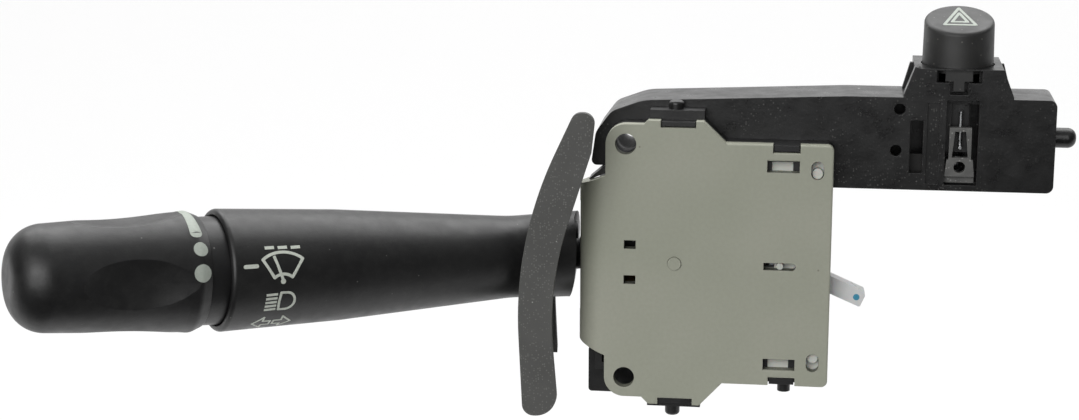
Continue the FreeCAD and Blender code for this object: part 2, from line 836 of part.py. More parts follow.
housing = new_body("switch_housing")
slab(housing, "flange", "XZ", [plate_outline(fit_gap)], plate_thick, flange_back)
slab(housing, "box", "XZ", [oblong(-box_left, box_right, -box_low, box_top)],
     lip_radius + fit_gap, box_back)
backing_drop = lip_slope * lip_inner / (lip_radius + 1)
for sign, side, lip_end, backing in ((1, "upper", lip_top, backing_top),
                                     (-1, "lower", lip_low, backing_low)):
    slab(housing, side + "_backing", "XZ", [[
        (-boss_radius + 1, (lip_end + fit_gap) * sign),
        (-boss_radius, (lip_end + fit_gap) * sign),
        (-boss_radius - lip_inner, (lip_end + fit_gap - backing_drop) * sign),
        (-boss_radius - lip_inner, (lip_end + fit_gap * 2 - backing_drop) * sign),
        (-boss_radius, (lip_end + backing) * sign),
        (-boss_radius + 1, (lip_end + backing) * sign),
    ]], plate_thick, flange_back)
cut(housing, "cavity", "XZ", [oblong(-inner_left, inner_right, -inner_low, inner_top)],
    plate_thick - 1, box_back + 1)
cut(housing, "front_recess", "XZ",
    [oblong(boss_radius + fit_gap, inner_right, inner_top - 1, plate_half - wall)],
    plate_thick - 1, pocket_floor)
slab(housing, "collar", "XZ", [[
    (-box_left - collar_reach, -port_half - collar_wall, 1),
    (-box_left + 1, -port_half - collar_wall),
    (-box_left + 1, port_half + collar_wall),
    (-box_left - collar_reach, port_half + collar_wall, 1),
]], lip_depth + fit_gap, port_far + collar_wall)
cut(housing, "port", "XZ",
    [oblong(-box_left - collar_reach - 1, -inner_left + 1, -port_half, port_half)],
    plate_thick - 1, port_far)
slab(housing, "screw_block", "XZ",
     [oblong(-block_left, block_right, -block_low, -block_top, 1)], block_near, block_back)
slab(housing, "screw_boss", "XZ", [circle(0, -screw_z, boss_radius)], flange_back - 1, block_near)
cover_posts = [(-inner_left + post_inset, inner_top - post_inset),
               (inner_right - post_inset, inner_top - post_inset),
               (inner_right - post_inset, -inner_low + post_inset),
               (-inner_left + post_inset, -block_top - post_inset / 2)]
slab(housing, "cover_posts", "XZ",
     [circle(across, up, post_radius) for across, up in cover_posts[:3]], post_near, box_back)
slab(housing, "post_webs", "XZ", [
    oblong(-inner_left - 1, -inner_left + post_inset, inner_top - post_inset, inner_top + 1),
    oblong(inner_right - post_inset, inner_right + 1, inner_top - post_inset, inner_top + 1),
    oblong(inner_right - post_inset, inner_right + 1, -inner_low - 1, -inner_low + post_inset),
], post_near, box_back)
slab(housing, "block_stop", "XZ", [
    oblong(-inner_left - 1, block_right, -inner_low - 1, -block_top)], block_back - 1, box_back)
cut(housing, "screw_passages", "XZ",
    [circle(0, screw_z * sign, screw_bore + passage_gap) for sign in (1, -1)],
    plate_thick - 1, box_back + 1)
cut(housing, "cover_screw_holes", "XZ",
    [circle(across, up, screw_shank + press_gap) for across, up in cover_posts],
    box_back - screw_grip, box_back + 1)
cut(housing, "lead_slot", "XY",
    [oblong(lead_left, lead_right, lead_near, lead_far)], inner_top - 1, box_top + 1)
cut(housing, "pawl_port", "YZ",
    [oblong(pawl_near - fit_gap * 2, pawl_back + fit_gap * 2, -pawl_port_low, pawl_port_high)],
    inner_right - 1, box_right + 1)
for sign, side, ear in ((1, "upper", ear_top), (-1, "lower", ear_low)):
    slab(housing, side + "_tab", "XZ", [
        oblong(tab_left, tab_right, ear - 2, ear + tab_height) if sign > 0
        else oblong(tab_left, tab_right, -ear - tab_height + 0.6, -ear + 2)],
        tab_near, flange_back)
    reach = ear + tab_height
    peg_tip = reach + peg_reach - 1.2
    slab(housing, side + "_peg", "XY", [circle(peg_x, peg_y, peg_radius)],
         reach - 1 if sign > 0 else -peg_tip, peg_tip if sign > 0 else -reach + 1)
    notch_floor = plate_half - clip_notch_depth
    clips = [(clip_notch_left, clip_notch_right, notch_floor, plate_half - fit_gap),
             (tab_notch_left, tab_notch_right, ear - tab_notch_depth, ear - fit_gap)]
    slab(housing, side + "_clips", "XZ", [
        oblong(left + fit_gap, right - fit_gap,
               low + fit_gap if sign > 0 else -high, high if sign > 0 else -low - fit_gap)
        for left, right, low, high in clips], clip_step, plate_thick + 1)
    slab(housing, side + "_clip_root", "XZ", [
        oblong(clip_notch_left - 1, clip_notch_right + 1,
               notch_floor - fit_gap if sign > 0 else -plate_half + fit_gap,
               plate_half - fit_gap if sign > 0 else -notch_floor + fit_gap)],
        plate_thick, flange_back)
small_peg_top = plate_half - fit_gap
slab(housing, "small_peg", "XY", [circle(small_peg_x, peg_y, small_peg_radius)],
     -small_peg_top - small_peg_reach, -small_peg_top + 1)
slab(housing, "cam_rail", "XZ",
     [oblong(cam_back + fit_gap, cam_back + 3, -inner_low - 1, inner_top + 1)],
     cam_near + 6, cam_near + 8)
rounded(housing, "peg_ends", 1.0, lambda edge: edge.Curve.TypeId == "Part::GeomCircle"
        and edge.BoundBox.ZMax - edge.BoundBox.ZMin < 0.01
        and abs(edge.BoundBox.Center.z) > (ear_top + tab_height + 0.7).value)
node(housing, "switch_housing")

# Rear cover with the connector shroud
cover_back = box_back + cover_thick
shroud_end = cover_back + shroud_depth
rear = new_body("rear_cover")
slab(rear, "cover", "XZ", [oblong(-box_left, box_right, -box_low, box_top, 1.5)],
     box_back, cover_back)
slab(rear, "shroud", "XZ", [oblong(shroud_left, shroud_right, -shroud_low, -shroud_top, 2)],
     cover_back - 1, shroud_end)
cut(rear, "socket", "XZ",
    [oblong(shroud_left + shroud_wall, shroud_right - shroud_wall,
            -shroud_low + shroud_wall, -shroud_top - shroud_wall, 0.6)],
    cover_back - cover_thick + shroud_floor, shroud_end + 1)
shroud_mid = (shroud_left + shroud_right) / 2
key_half = 2.0
slab(rear, "connector_keys", "XZ", [
    oblong(shroud_mid - key_half, shroud_mid + key_half, -shroud_top - 1, -shroud_top + 1.6),
    oblong(shroud_left - 1.4, shroud_left + 1, -shroud_low + 4, -shroud_low + 6),
    oblong(shroud_right - 1, shroud_right + 1.4, -shroud_low + 4, -shroud_low + 6),
], cover_back - 1, shroud_end - 2)
slab(rear, "hub", "XZ", [circle(pivot_x, 0, hub_radius)], box_back - hub_height, box_back + 1)
cut(rear, "hub_bore", "XZ", [circle(pivot_x, 0, rear_trunnion + run_gap)],
    box_back - hub_height - 1, cover_back - 1)
pin_columns = 6
pin_lines = 2
pin_mid_z = -(shroud_low + shroud_top) / 2
pin_spots = [(shroud_mid + pin_pitch * (column - (pin_columns - 1) / 2),
              pin_mid_z + pin_row * (line - (pin_lines - 1) / 2))
             for column in range(pin_columns) for line in range(pin_lines)]
slot_play = pin_wide / 2 + fit_gap / 2
cut(rear, "pin_slots", "XZ",
    [oblong(across - slot_play, across + slot_play, up - slot_play, up + slot_play)
     for across, up in pin_spots], box_back - 1, cover_back)
cut(rear, "screw_clearances", "XZ",
    [circle(across, up, screw_shank + fit_gap) for across, up in cover_posts],
    box_back - 1, cover_back + 1)
node(rear, "rear_cover")

screws = new_body("cover_screws")
slab(screws, "shanks", "XZ", [circle(across, up, screw_shank) for across, up in cover_posts],
     box_back - screw_grip + fit_gap, cover_back)
slab(screws, "heads", "XZ", [circle(across, up, screw_head) for across, up in cover_posts],
     cover_back, cover_back + screw_head_high)
node(screws, "cover_screws")

# Contact board with its fixed contacts and the connector's pins
board_back = box_back - fit_gap
board_near = board_back - board_thick
board = new_body("contact_board")
slab(board, "board", "XZ",
     [oblong(-inner_left + fit_gap, inner_right - fit_gap,
             -inner_low + fit_gap, inner_top - fit_gap)], board_near, board_back)
cut(board, "hub_hole", "XZ", [circle(pivot_x, 0, hub_radius + fit_gap)],
    board_near - 1, board_back + 1)
corner_keep = post_inset * 2 + fit_gap
cut(board, "corner_reliefs", "XZ", [
    oblong(-inner_left - 1, -inner_left + corner_keep, inner_top - corner_keep, inner_top + 1),
    oblong(inner_right - corner_keep, inner_right + 1, inner_top - corner_keep, inner_top + 1),
    oblong(inner_right - corner_keep, inner_right + 1, -inner_low - 1, -inner_low + corner_keep),
    oblong(-inner_left - 1, block_right + fit_gap, -inner_low - 1, -block_top + fit_gap),
], board_near - 1, board_back + 1)
cut(board, "pin_seats", "XZ",
    [oblong(across - pin_wide / 2, across + pin_wide / 2, up - pin_wide / 2, up + pin_wide / 2)
     for across, up in pin_spots], board_near - 1, board_back + 1)
node(board, "contact_board")

pins = new_body("terminal_pins")
slab(pins, "pins", "XZ",
     [oblong(across - pin_wide / 2, across + pin_wide / 2, up - pin_wide / 2, up + pin_wide / 2)
      for across, up in pin_spots], board_near - 1, shroud_end - pin_tip_gap)
node(pins, "terminal_pins")

pad_left = pivot_x + hub_radius + fit_gap * 3
fixed = new_body("fixed_contacts")
slab(fixed, "strips", "XZ",
     [oblong(pad_left + pad_pitch * place, pad_left + pad_pitch * place + pad_wide,
             -pad_half, pad_half) for place in range(3)], board_near - pad_thick, board_near)
node(fixed, "fixed_contacts")

# White contact frame behind the plate's windows
frame = new_body("contact_frame")
frame_near = plate_thick + fit_gap
frame_right = inner_right - fit_gap
spine = slider_right + cancel_travel + fit_gap * 3
slab(frame, "frame", "XZ",
     [oblong(frame_left, frame_right, -frame_bar_high, frame_bar_high, 1.2),
      [(frame_left + 3, -frame_bar_low, 1), (spine, -frame_bar_low, 1),
       (spine, frame_bar_low, 1), (frame_left + 3, frame_bar_low, 1)]],
     frame_near, frame_back)
cut(frame, "open_side", "XZ",
    [oblong(frame_left - 1, frame_left + 4, -frame_bar_low + 1.5, frame_bar_low - 1.5)],
    frame_near - 1, frame_back + 1)
slab(frame, "posts", "XZ",
     [circle(oval_x, frame_post_z * sign, frame_post) for sign in (1, -1)],
     plate_thick - 1.6, frame_near + 1)
node(frame, "contact_frame")

# Hazard arm
arm_inner_low = arm_low + wall
arm_inner_top = arm_top - wall
arm_inner_left = boss_radius + fit_gap + wall
arm_inner_right = arm_right - wall


def arm_room(spread):
    """Outline of the arm's hollow, spread outwards for the lid's seat."""
    return [
        (arm_inner_left - spread, arm_inner_low - spread, 1.5),
        (arm_inner_right + spread, arm_inner_low - spread, 1.5),
        (arm_inner_right + spread, arm_inner_top + spread, 1.5),
        (arm_bend_x, arm_inner_top + spread),
        (arm_inner_left - spread, arm_knee_z - wall + spread, 1.5),
    ]


arm = new_body("arm_shell")
slab(arm, "arm", "XZ", [[
    (-arm_left, arm_step, 1.5),
    (-arm_left + 1.3, arm_cheek_z - 6, 5),
    (-arm_cheek_x, arm_cheek_z, 5),
    (arm_knee_x, arm_knee_z, 14),
    (arm_bend_x, arm_top),
    (arm_right, arm_top, arm_edge),
    (arm_right, arm_low, arm_edge),
    (-boss_radius, arm_low),
    (-boss_radius, arm_step),
]], arm_near, arm_back)
tower_left = button_x - tower_half
tower_right = button_x + tower_half
tower_back = button_y + cap_base + fit_gap + wall
slab(arm, "tower_plate", "XZ", [[
    (tower_left - tower_flare, arm_top - 1),
    (tower_left - tower_flare, arm_top + 0.6),
    (tower_left, tower_top + 0.4),
    (tower_left + 1.6, tower_top),
    (tower_right, tower_top),
    (tower_right + tower_flare, arm_top + 0.6),
    (tower_right + tower_flare, arm_top - 1),
]], arm_near, arm_near + tower_plate)
slab(arm, "tower", "XY", [oblong(tower_left, tower_right, arm_near, tower_back)],
     tower_floor - wall, tower_top)
for side, outer, inner in (("left", tower_left - tower_flare, tower_left + 1),
                           ("right", tower_right + tower_flare, tower_right - 1)):
    slab(arm, side + "_gusset", "XZ", [[
        (outer, arm_top - 1),
        (outer, arm_top + 0.4),
        ((outer + inner) / 2, tower_top - 0.6),
        (inner, tower_top - 0.6),
        (inner, arm_top - 1),
    ]], arm_back - 4, arm_back - 2.4)
cut(arm, "room", "XZ", [arm_room(as_size(0))], arm_near + wall, arm_back + 1)
cut(arm, "lid_seat", "XZ", [arm_room(ledge)], arm_back - arm_lid, arm_back + 1)
cut(arm, "cap_bore", "XY", [circle(button_x, button_y, cap_base + fit_gap)],
    tower_floor, tower_top + 1)
cut(arm, "plunger_way", "XY",
    [oblong(button_x - plunger_half - fit_gap, button_x + plunger_half + fit_gap,
            plunger_near - fit_gap, plunger_far + fit_gap)], arm_inner_top - 1, tower_floor + 1)
bore_front = button_y - cap_base - fit_gap
cut(arm, "tongue_relief", "XY",
    [oblong(button_x - tongue_half - fit_gap, button_x + tongue_half + fit_gap,
            bore_front, bore_front + 3)],
    tip_low - cap_travel - 1, tower_top + 1)
cut(arm, "sight_window", "XZ",
    [[(button_x - sight_half, sight_low), (button_x - sight_notch, sight_low),
      (button_x - sight_notch, tower_floor), (button_x + sight_notch, tower_floor),
      (button_x + sight_notch, sight_low), (button_x + sight_half, sight_low),
      (button_x + sight_half, sight_top), (button_x - sight_half, sight_top)]],
    arm_near - 1, bore_front + 1.6)
cut(arm, "channel", "XZ",
    [oblong(channel_left, channel_right, channel_low, channel_top)], arm_near - 1,
    arm_near + wall + 1)
cut(arm, "front_dots", "XZ",
    [circle(front_dot_x, front_dot_high, dot_radius),
     circle(front_dot_x - front_dot_lean, front_dot_low, dot_radius)],
    arm_near - 1, arm_near + wall + 1)
cut(arm, "front_slot", "XZ",
    [oblong(front_slot_right - front_slot_wide, front_slot_right, front_slot_low, front_slot_top)],
    arm_near - 1, arm_near + wall + 1)
cut(arm, "front_groove", "XZ",
    [oblong(groove_right - groove_wide, groove_right, groove_low, groove_top)],
    arm_near - 1, arm_near + groove_depth)
cut(arm, "screw_passage", "XZ", [circle(0, screw_z, screw_bore + passage_gap)],
    arm_near - 1, arm_back + 1)
cut(arm, "arm_lead_slot", "XY", [oblong(lead_left, lead_right, lead_near, lead_far)],
    arm_low - 1, arm_inner_low + 1)
arm_posts = [(arm_post_left, arm_post_low), (arm_post_mid, arm_post_low),
             (arm_post_right, arm_post_high)]
slab(arm, "lid_posts", "XZ", [circle(across, up, arm_screw_radius) for across, up in arm_posts],
     arm_near + 1, arm_back - arm_lid)
cut(arm, "lid_screw_holes", "XZ",
    [circle(across, up, screw_shank + press_gap) for across, up in arm_posts],
    arm_back - screw_grip - 1, arm_back)
cut(arm, "locator_seat", "YZ", [circle(locator_y, locator_z, locator_radius - 0.8)],
    arm_inner_right - 1, arm_right + 1)
node(arm, "arm_shell")

lid = new_body("arm_cover")
slab(lid, "lid", "XZ", [arm_room(ledge - fit_gap / 2)], arm_back - arm_lid, arm_back)
cut(lid, "lid_screw_clearances", "XZ",
    [circle(across, up, screw_shank + fit_gap) for across, up in arm_posts],
    arm_back - arm_lid - 1, arm_back + 1)
node(lid, "arm_cover")

lid_screws = new_body("arm_screws")
slab(lid_screws, "shanks", "XZ", [circle(across, up, screw_shank) for across, up in arm_posts],
     arm_back - screw_grip, arm_back)
slab(lid_screws, "heads", "XZ", [circle(across, up, screw_head) for across, up in arm_posts],
     arm_back, arm_back + screw_head_high)
node(lid_screws, "arm_screws")

locator = new_body("locating_pin")
turned(locator, "bullet", [
    (-wall - fit_gap, 0),
    (-wall - fit_gap, locator_radius - 0.8 - press_gap),
    (0, locator_radius - 0.8 - press_gap),
    (0, locator_radius),
    (locator_reach, locator_radius, locator_radius - 0.4),
    (locator_reach, 0),
])
place_at(locator, arm_right, locator_y, locator_z)
node(locator, "locating_pin")

# Latch of the hazard push-push action: a clip frame that holds the follower wire
finger = new_body("latch_finger")
finger_near = arm_near + 0.4
slab(finger, "finger", "XZ", [
    [(finger_mid - finger_foot, finger_low),
     (finger_mid + finger_foot, finger_low),
     (finger_mid + finger_foot - finger_notch, finger_notch_z),
     (finger_mid + finger_foot - finger_notch * 2, finger_notch_z),
     (finger_mid + finger_head, finger_top),
     (finger_mid - finger_head, finger_top),
     (finger_mid - finger_foot + finger_notch * 2, finger_notch_z),
     (finger_mid - finger_foot + finger_notch, finger_notch_z)],
    [(finger_mid - finger_hole_foot, finger_hole_low),
     (finger_mid + finger_hole_foot, finger_hole_low),
     (finger_mid + finger_hole_head, finger_hole_top),
     (finger_mid - finger_hole_head, finger_hole_top)],
    circle(finger_mid, finger_dot_z, dot_radius),
], finger_near, finger_near + finger_thick)
slab(finger, "foot", "XZ",
     [oblong(finger_mid - finger_foot, finger_mid + finger_foot,
             arm_inner_low + press_gap, finger_low + 0.4)],
     finger_near + finger_thick - 0.5, arm_near + wall + 1.6)
node(finger, "latch_finger")

wire_y = finger_near + finger_thick + fit_gap / 2 + wire_radius
wire = join("latch_wire", [
    rod("wire_stem", wire_radius, wire_top - wire_low, finger_mid, wire_y, wire_low,
        Vector(0, 0, 1)),
    rod("wire_hook", wire_radius - press_gap, plunger_near - wire_y + 0.9, finger_mid, wire_y,
        wire_top - wire_radius, Vector(0, 1, 0)),
    rod("wire_foot", wire_radius - press_gap, wire_y - finger_near - 0.6, finger_mid, wire_y,
        wire_low + wire_radius, Vector(0, -1, 0)),
])
node(wire, "latch_wire")

# Hazard contacts and the strips that lead along the arm
contact_base = arm_inner_low + press_gap
hazard_blades = join("hazard_contacts", [
    brick("contact_bar", contact_left, contact_left + contact_wide, contact_near,
          contact_near + contact_thick, contact_base, contact_top),
    brick("contact_foot", contact_left, contact_left + contact_thick, contact_near,
          contact_near + contact_foot, contact_base, contact_top - contact_thick),
])
node(hazard_blades, "hazard_contacts")
strip_end = contact_left - contact_thick
strips = new_body("arm_strips")
for place in range(2):
    near = lead_near + fit_gap * 2 + strip_pitch * place
    slab(strips, "strip_%d" % place, "XZ", [[
        (lead_left + 1, inner_top - 8),
        (lead_right - 1, inner_top - 8),
        (lead_right - 1, arm_inner_low + fit_gap),
        (strip_end, arm_inner_low + fit_gap),
        (strip_end, arm_inner_low + 3),
        (lead_left + 1, arm_inner_low + 3),
    ]], near, near + strip_thick)
node(strips, "arm_strips")

# Hazard cap: drawn about its own Z axis
cap_slope = (cap_far_z - cap_near_z) / (2 * cap_radius)
cap_mid_z = (cap_far_z + cap_near_z) / 2
cap = new_body("hazard_cap")
turned(cap, "cap", [
    (0, cap_low), (cap_base, cap_low), (cap_radius, cap_far_z + 2), (0, cap_far_z + 2)], "V_Axis")
cap_over = 4.0
cut(cap, "slanted_top", "YZ", [[
    (-cap_radius - cap_over, cap_mid_z - cap_slope * (cap_radius + cap_over)),
    (cap_radius + cap_over, cap_mid_z + cap_slope * (cap_radius + cap_over)),
    (cap_radius + cap_over, cap_far_z + 8),
    (-cap_radius - cap_over, cap_far_z + 8),
]], -cap_radius - 2, cap_radius + 2)
rounded(cap, "rim", cap_rim, lambda edge: edge.BoundBox.ZMax > cap_near_z.value + 1
        and edge.BoundBox.ZMin > cap_near_z.value - 2
        and edge.BoundBox.YMax - edge.BoundBox.YMin > 5)
cut(cap, "hollow", "XY", [circle(0, 0, cap_radius - cap_wall)], cap_low - 1,
    cap_near_z - cap_wall)
tongue = cap_radius + 0.35
slab(cap, "tongue", "XZ", [[
    (-tongue_half, cap_low + 1), (-tongue_half, tongue_low), (-tip_half, tongue_low),
    (-tip_half, tip_low), (tip_half, tip_low), (tip_half, tongue_low),
    (tongue_half, tongue_low), (tongue_half, cap_low + 1)]],
    -tongue, -tongue + cap_wall)
place_at(cap, button_x, button_y, 0)
node(cap, "hazard_cap")

plunger = new_body("hazard_plunger")
slab(plunger, "stem", "XY",
     [oblong(button_x - plunger_half, button_x + plunger_half, plunger_near, plunger_far)],
     plunger_low, plunger_head)
slab(plunger, "head", "XY", [circle(button_x, button_y, cap_radius - cap_wall - press_gap)],
     plunger_head - head_thick, plunger_head)
island_x = finger_mid + heart_island
cut(plunger, "heart_track", "XZ", [
    [(finger_mid - heart_half, heart_shoulder),
     (finger_mid, heart_low),
     (finger_mid + heart_half, heart_shoulder),
     (finger_mid + heart_half, heart_side),
     (finger_mid + heart_island, heart_top),
     (finger_mid - heart_island, heart_top),
     (finger_mid - heart_half, heart_side)],
    [(island_x - heart_island_half, heart_island_z),
     (island_x, heart_island_z + heart_island_half * 2),
     (island_x + heart_island_half, heart_island_z),
     (island_x, heart_island_z - heart_island_half)],
], plunger_near - 1, plunger_near + 1.2)
spring_mid = (plunger_near + plunger_far) / 2
cut(plunger, "spring_seat", "XY", [circle(button_x, spring_mid, seat_radius)],
    plunger_low - 1, plunger_low + seat_depth)
node(plunger, "hazard_plunger")

hazard_spring = coil("hazard_spring", spring_radius, spring_wire,
                     plunger_low + seat_depth - arm_inner_low - press_gap * 2, 6)
place_at(hazard_spring, button_x, spring_mid, arm_inner_low + press_gap)
node(hazard_spring, "hazard_spring")

# Turn carrier: a cradle on two trunnions, with the detent barrel on its right
carrier = new_body("turn_carrier")
inner_web = carrier_right - 1.8
slab(carrier, "cradle", "XZ",
     [oblong(pivot_x - carrier_left, pivot_x + carrier_right, -carrier_half, carrier_half, 1)],
     carrier_near, carrier_far)
cut(carrier, "lever_way", "YZ",
    [oblong(carrier_near + carrier_wall, carrier_far - carrier_wall,
            -arm_half_z - fit_gap, arm_half_z + fit_gap)],
    pivot_x - carrier_left - 1, pivot_x + inner_web)
slab(carrier, "front_trunnion", "XZ", [circle(pivot_x, 0, front_trunnion)],
     -trunnion_proud, carrier_near + 1)
slab(carrier, "rear_trunnion", "XZ", [circle(pivot_x, 0, rear_trunnion)],
     carrier_far - 1, box_back + 0.6)
slab(carrier, "barrel", "YZ", [circle(barrel_y, 0, barrel_radius)],
     pivot_x + carrier_right - 1, barrel_end)
cut(carrier, "barrel_bore", "YZ", [circle(barrel_y, 0, detent_radius + run_gap)],
    pivot_x + carrier_right, barrel_end + 1)
cut(carrier, "beam_bore", "XY", [circle(pivot_x, pivot_y, beam_pin_radius + press_gap)],
    -carrier_half - 1, carrier_half + 1)
node(carrier, "turn_carrier")

beam_pin = rod("beam_pin", beam_pin_radius, carrier_half * 2, pivot_x, pivot_y, -carrier_half,
               Vector(0, 0, 1))
node(beam_pin, "beam_pin")

detent = new_body("detent_plunger")
nose_start = barrel_end - pivot_x + 0.6
turned(detent, "plunger", [
    (barrel_end - pivot_x - detent_grip, 0),
    (barrel_end - pivot_x - detent_grip, detent_radius),
    (nose_start, detent_radius),
    (detent_reach - detent_tip, detent_tip + 0.1),
    (detent_reach, detent_tip, detent_tip - 0.15),
    (detent_reach, 0),
])
place_at(detent, pivot_x, barrel_y, 0)
node(detent, "detent_plunger")

detent_spring = coil("detent_spring", detent_spring_radius, detent_spring_wire,
                     barrel_end - detent_grip - pivot_x - carrier_right - press_gap * 2, 4)
place_at(detent_spring, pivot_x + carrier_right + press_gap, barrel_y, 0,
         Rotation(Vector(0, 0, 1), Vector(1, 0, 0)))
node(detent_spring, "detent_spring")

# Detent cam: three notches about the turn pivot
cam = new_body("detent_cam")
cam_face = []
for step in range(-3, 4):
    angle = turn_angle * (step / 2)
    radius = notch_radius if step % 2 == 0 else ridge_radius
    cam_face.append((pivot_x + radius * cosine(angle), radius * sine(angle)))
slab(cam, "cam", "XZ", [cam_face + [(cam_back, cam_half), (cam_back, -cam_half)]],
     cam_near, board_near)
cut(cam, "lightening", "XZ",
    [oblong(cam_back - 2, cam_back + 1, -cam_half + 2, cam_half - 2)], cam_near + 3, board_near + 1)
node(cam, "detent_cam")

blades = new_body("turn_contacts")
slab(blades, "blades", "XZ",
     [oblong(pad_left + pad_pitch * place, pad_left + pad_pitch * place + pad_wide,
             -blade_half, blade_half) for place in range(3)],
     carrier_far, board_near - pad_thick - fit_gap)
slab(blades, "bridge", "XZ",
     [oblong(pivot_x + rear_trunnion + 0.6, pad_left + pad_pitch * 2 + pad_wide,
             -blade_half, blade_half)], carrier_far, carrier_far + bridge_thick)
node(blades, "turn_contacts")

# Self-cancelling slider and pawl
slider = new_body("cancel_slider")
slab(slider, "slider", "XZ", [oblong(slider_left, slider_right, -slider_half, slider_half, 1)],
     slider_near, slider_back)
window_end = cancel_x - cancel_post - slider_web
cut(slider, "slider_window", "XZ",
    [oblong(window_end - slider_window, window_end, -slot_half, slot_half)],
    slider_near - 1, slider_back + 1)
slab(slider, "front_post", "XZ", [circle(cancel_x, 0, cancel_post)], 0.6, slider_near + 1)
slab(slider, "pawl_stud", "XZ", [circle(cancel_x, 0, stud_radius)], slider_back - 1,
     pawl_back + 0.6)
node(slider, "cancel_slider")

pawl = new_body("cancel_pawl")
slab(pawl, "pawl", "XZ", [[
    (cancel_x - pawl_tail, pawl_tail_half, 2.5),
    (cancel_x + pawl_knee, pawl_tail_half, 3),
    (cancel_x + pawl_neck, -pawl_neck_top),
    (cancel_x + pawl_nose, -pawl_nose_top, 0.5),
    (cancel_x + pawl_tip, -pawl_tip_z),
    (cancel_x + pawl_chin, -pawl_chin_z, 0.5),
    (cancel_x + pawl_neck, -pawl_neck_low),
    (cancel_x + pawl_knee, -pawl_tail_half - 1.5, 3),
    (cancel_x - pawl_tail, -pawl_tail_half, 2.5),
]], pawl_near, pawl_back)
cut(pawl, "stud_bore", "XZ", [circle(cancel_x, 0, stud_radius + run_gap)],
    pawl_near - 1, pawl_back + 1)
node(pawl, "cancel_pawl")

# Lever root: inner arm on the beam pin, joined to the stalk's spigot
inner_arm = new_body("lever_arm")
slab(inner_arm, "hub", "XY", [circle(pivot_x, pivot_y, beam_hub)], -arm_half_z, arm_half_z)
slab(inner_arm, "arm", "XY",
     [oblong(root_x + 1.5, pivot_x, pivot_y - arm_half_y, pivot_y + arm_half_y)],
     -arm_half_z, arm_half_z)
cut(inner_arm, "pin_bore", "XY", [circle(pivot_x, pivot_y, beam_pin_radius + run_gap)],
    -arm_half_z - 1, arm_half_z + 1)
spigot = new_body("lever_spigot")
turned(spigot, "spigot", [
    (-4.5, 0), (-4.5, arm_half_z, 1), (8.0, arm_half_z + 0.6), (12.5, spigot_bore - press_gap),
    (spigot_end, spigot_bore - press_gap), (spigot_end, 5.2), (9.0, 3.0), (9.0, 0)])
on_stalk(spigot)
root = join("lever_root", [inner_arm, spigot])
node(root, "lever_root")

# Stalk tube
tube = new_body("stalk_tube")
turned(tube, "tube", [
    (-12, tube_root),
    (tube_waist_at, tube_waist, 60),
    (tube_shoulder_at, tube_shoulder, 70),
    (tube_end, tube_mouth, tube_rim),
    (tube_end, mouth_bore, 0.4),
    (mouth_floor, mouth_bore),
    (mouth_floor, holder_bore),
    (holder_near, holder_bore),
    (spigot_end + 6, spigot_bore),
    (-12, spigot_bore),
])
trim_far = 20.0
trim_slope = sine(stalk_swing) / cosine(stalk_swing)
cut(tube, "root_trim", "XY", [[
    (-14, -trim_far),
    (tube_trim - trim_far * trim_slope, -trim_far),
    (tube_trim + root_split * trim_slope, root_split),
    (root_nose, tube_root),
    (root_nose, trim_far),
    (-14, trim_far),
]], -trim_far, trim_far)
on_stalk(tube)
node(tube, "stalk_tube")

# Closing shield: a shell about the tube, with its band in front and its open side to the housing
leaf = new_body("shield_leaf")
outer_edge = [
    (-shield_top_left, shield_top),
    (-shield_outer_x, shield_outer_z, shield_outer_bend),
    (-shield_foot_left, -shield_foot),
]


def edge_strip(width):
    """The band's outer edge, given a width."""
    inner_edge = [(corner[0] + width,) + tuple(corner[1:]) for corner in reversed(outer_edge)]
    return outer_edge + inner_edge


wall_near = -shield_front + shield_thick / 2
slab(leaf, "outer_wall", "XZ", [edge_strip(shield_thick)], wall_near, shield_far)
slab(leaf, "hem", "XZ", [edge_strip(shield_hem)], shield_far - shield_thick, shield_far)
cut(leaf, "shield_profile", "YZ", [
    oblong(-shield_front - 2, shield_far + 3, -shield_foot - 3, shield_top + 3),
    [(-shield_front - 1, -shield_foot + shield_heel),
     (shield_far + 1, -shield_hem_low, shield_toe),
     (shield_far + 1, shield_step_z),
     (shield_mid, shield_step_z, 2),
     (shield_mid, shield_top - shield_slope - shield_crown),
     (-shield_front - 1, shield_top - shield_crown)],
], -shield_outer_x - 1, shield_hem - shield_top_right)
slab(leaf, "band", "XZ", [[
    (-shield_top_right, shield_top, shield_crown),
    (-shield_top_left, shield_top, shield_crown),
    outer_edge[1],
    (-shield_foot_left, -shield_foot, shield_heel),
    (-shield_foot_right, -shield_foot, shield_toe),
    (-shield_inner_x, -shield_inner_z, shield_inner_bend),
    (-shield_shoulder_x, shield_shoulder_z),
]], -shield_front, -shield_front + shield_thick)
core = new_body("shield_core")
turned(core, "core", [
    (-12, 0),
    (-12, tube_root + press_gap),
    (tube_waist_at, tube_waist + press_gap, 60),
    (tube_shoulder_at, tube_shoulder + press_gap),
    (tube_shoulder_at, 0),
])
on_stalk(core)
shield = take("stalk_shield", leaf, core)
node(shield, "stalk_shield")
z_to_x = Rotation(Vector(0, 0, 1), Vector(1, 0, 0))

# Inside the stalk: holder, loom, rod, springs and rotor
holder = new_body("switch_holder")
holder_ledge = holder_near + holder_floor
turned(holder, "holder", [
    (holder_near + fit_gap, rod_radius + run_gap + wall),
    (holder_near + fit_gap, holder_bore - press_gap),
    (holder_end, holder_bore - press_gap),
    (holder_end, holder_bore - holder_wall),
    (holder_ledge, holder_bore - holder_wall),
    (holder_ledge, rod_radius + run_gap),
    (holder_ledge - holder_wall, rod_radius + run_gap),
    (holder_ledge - holder_wall, rod_radius + run_gap + wall),
])
on_stalk(holder)
node(holder, "switch_holder")

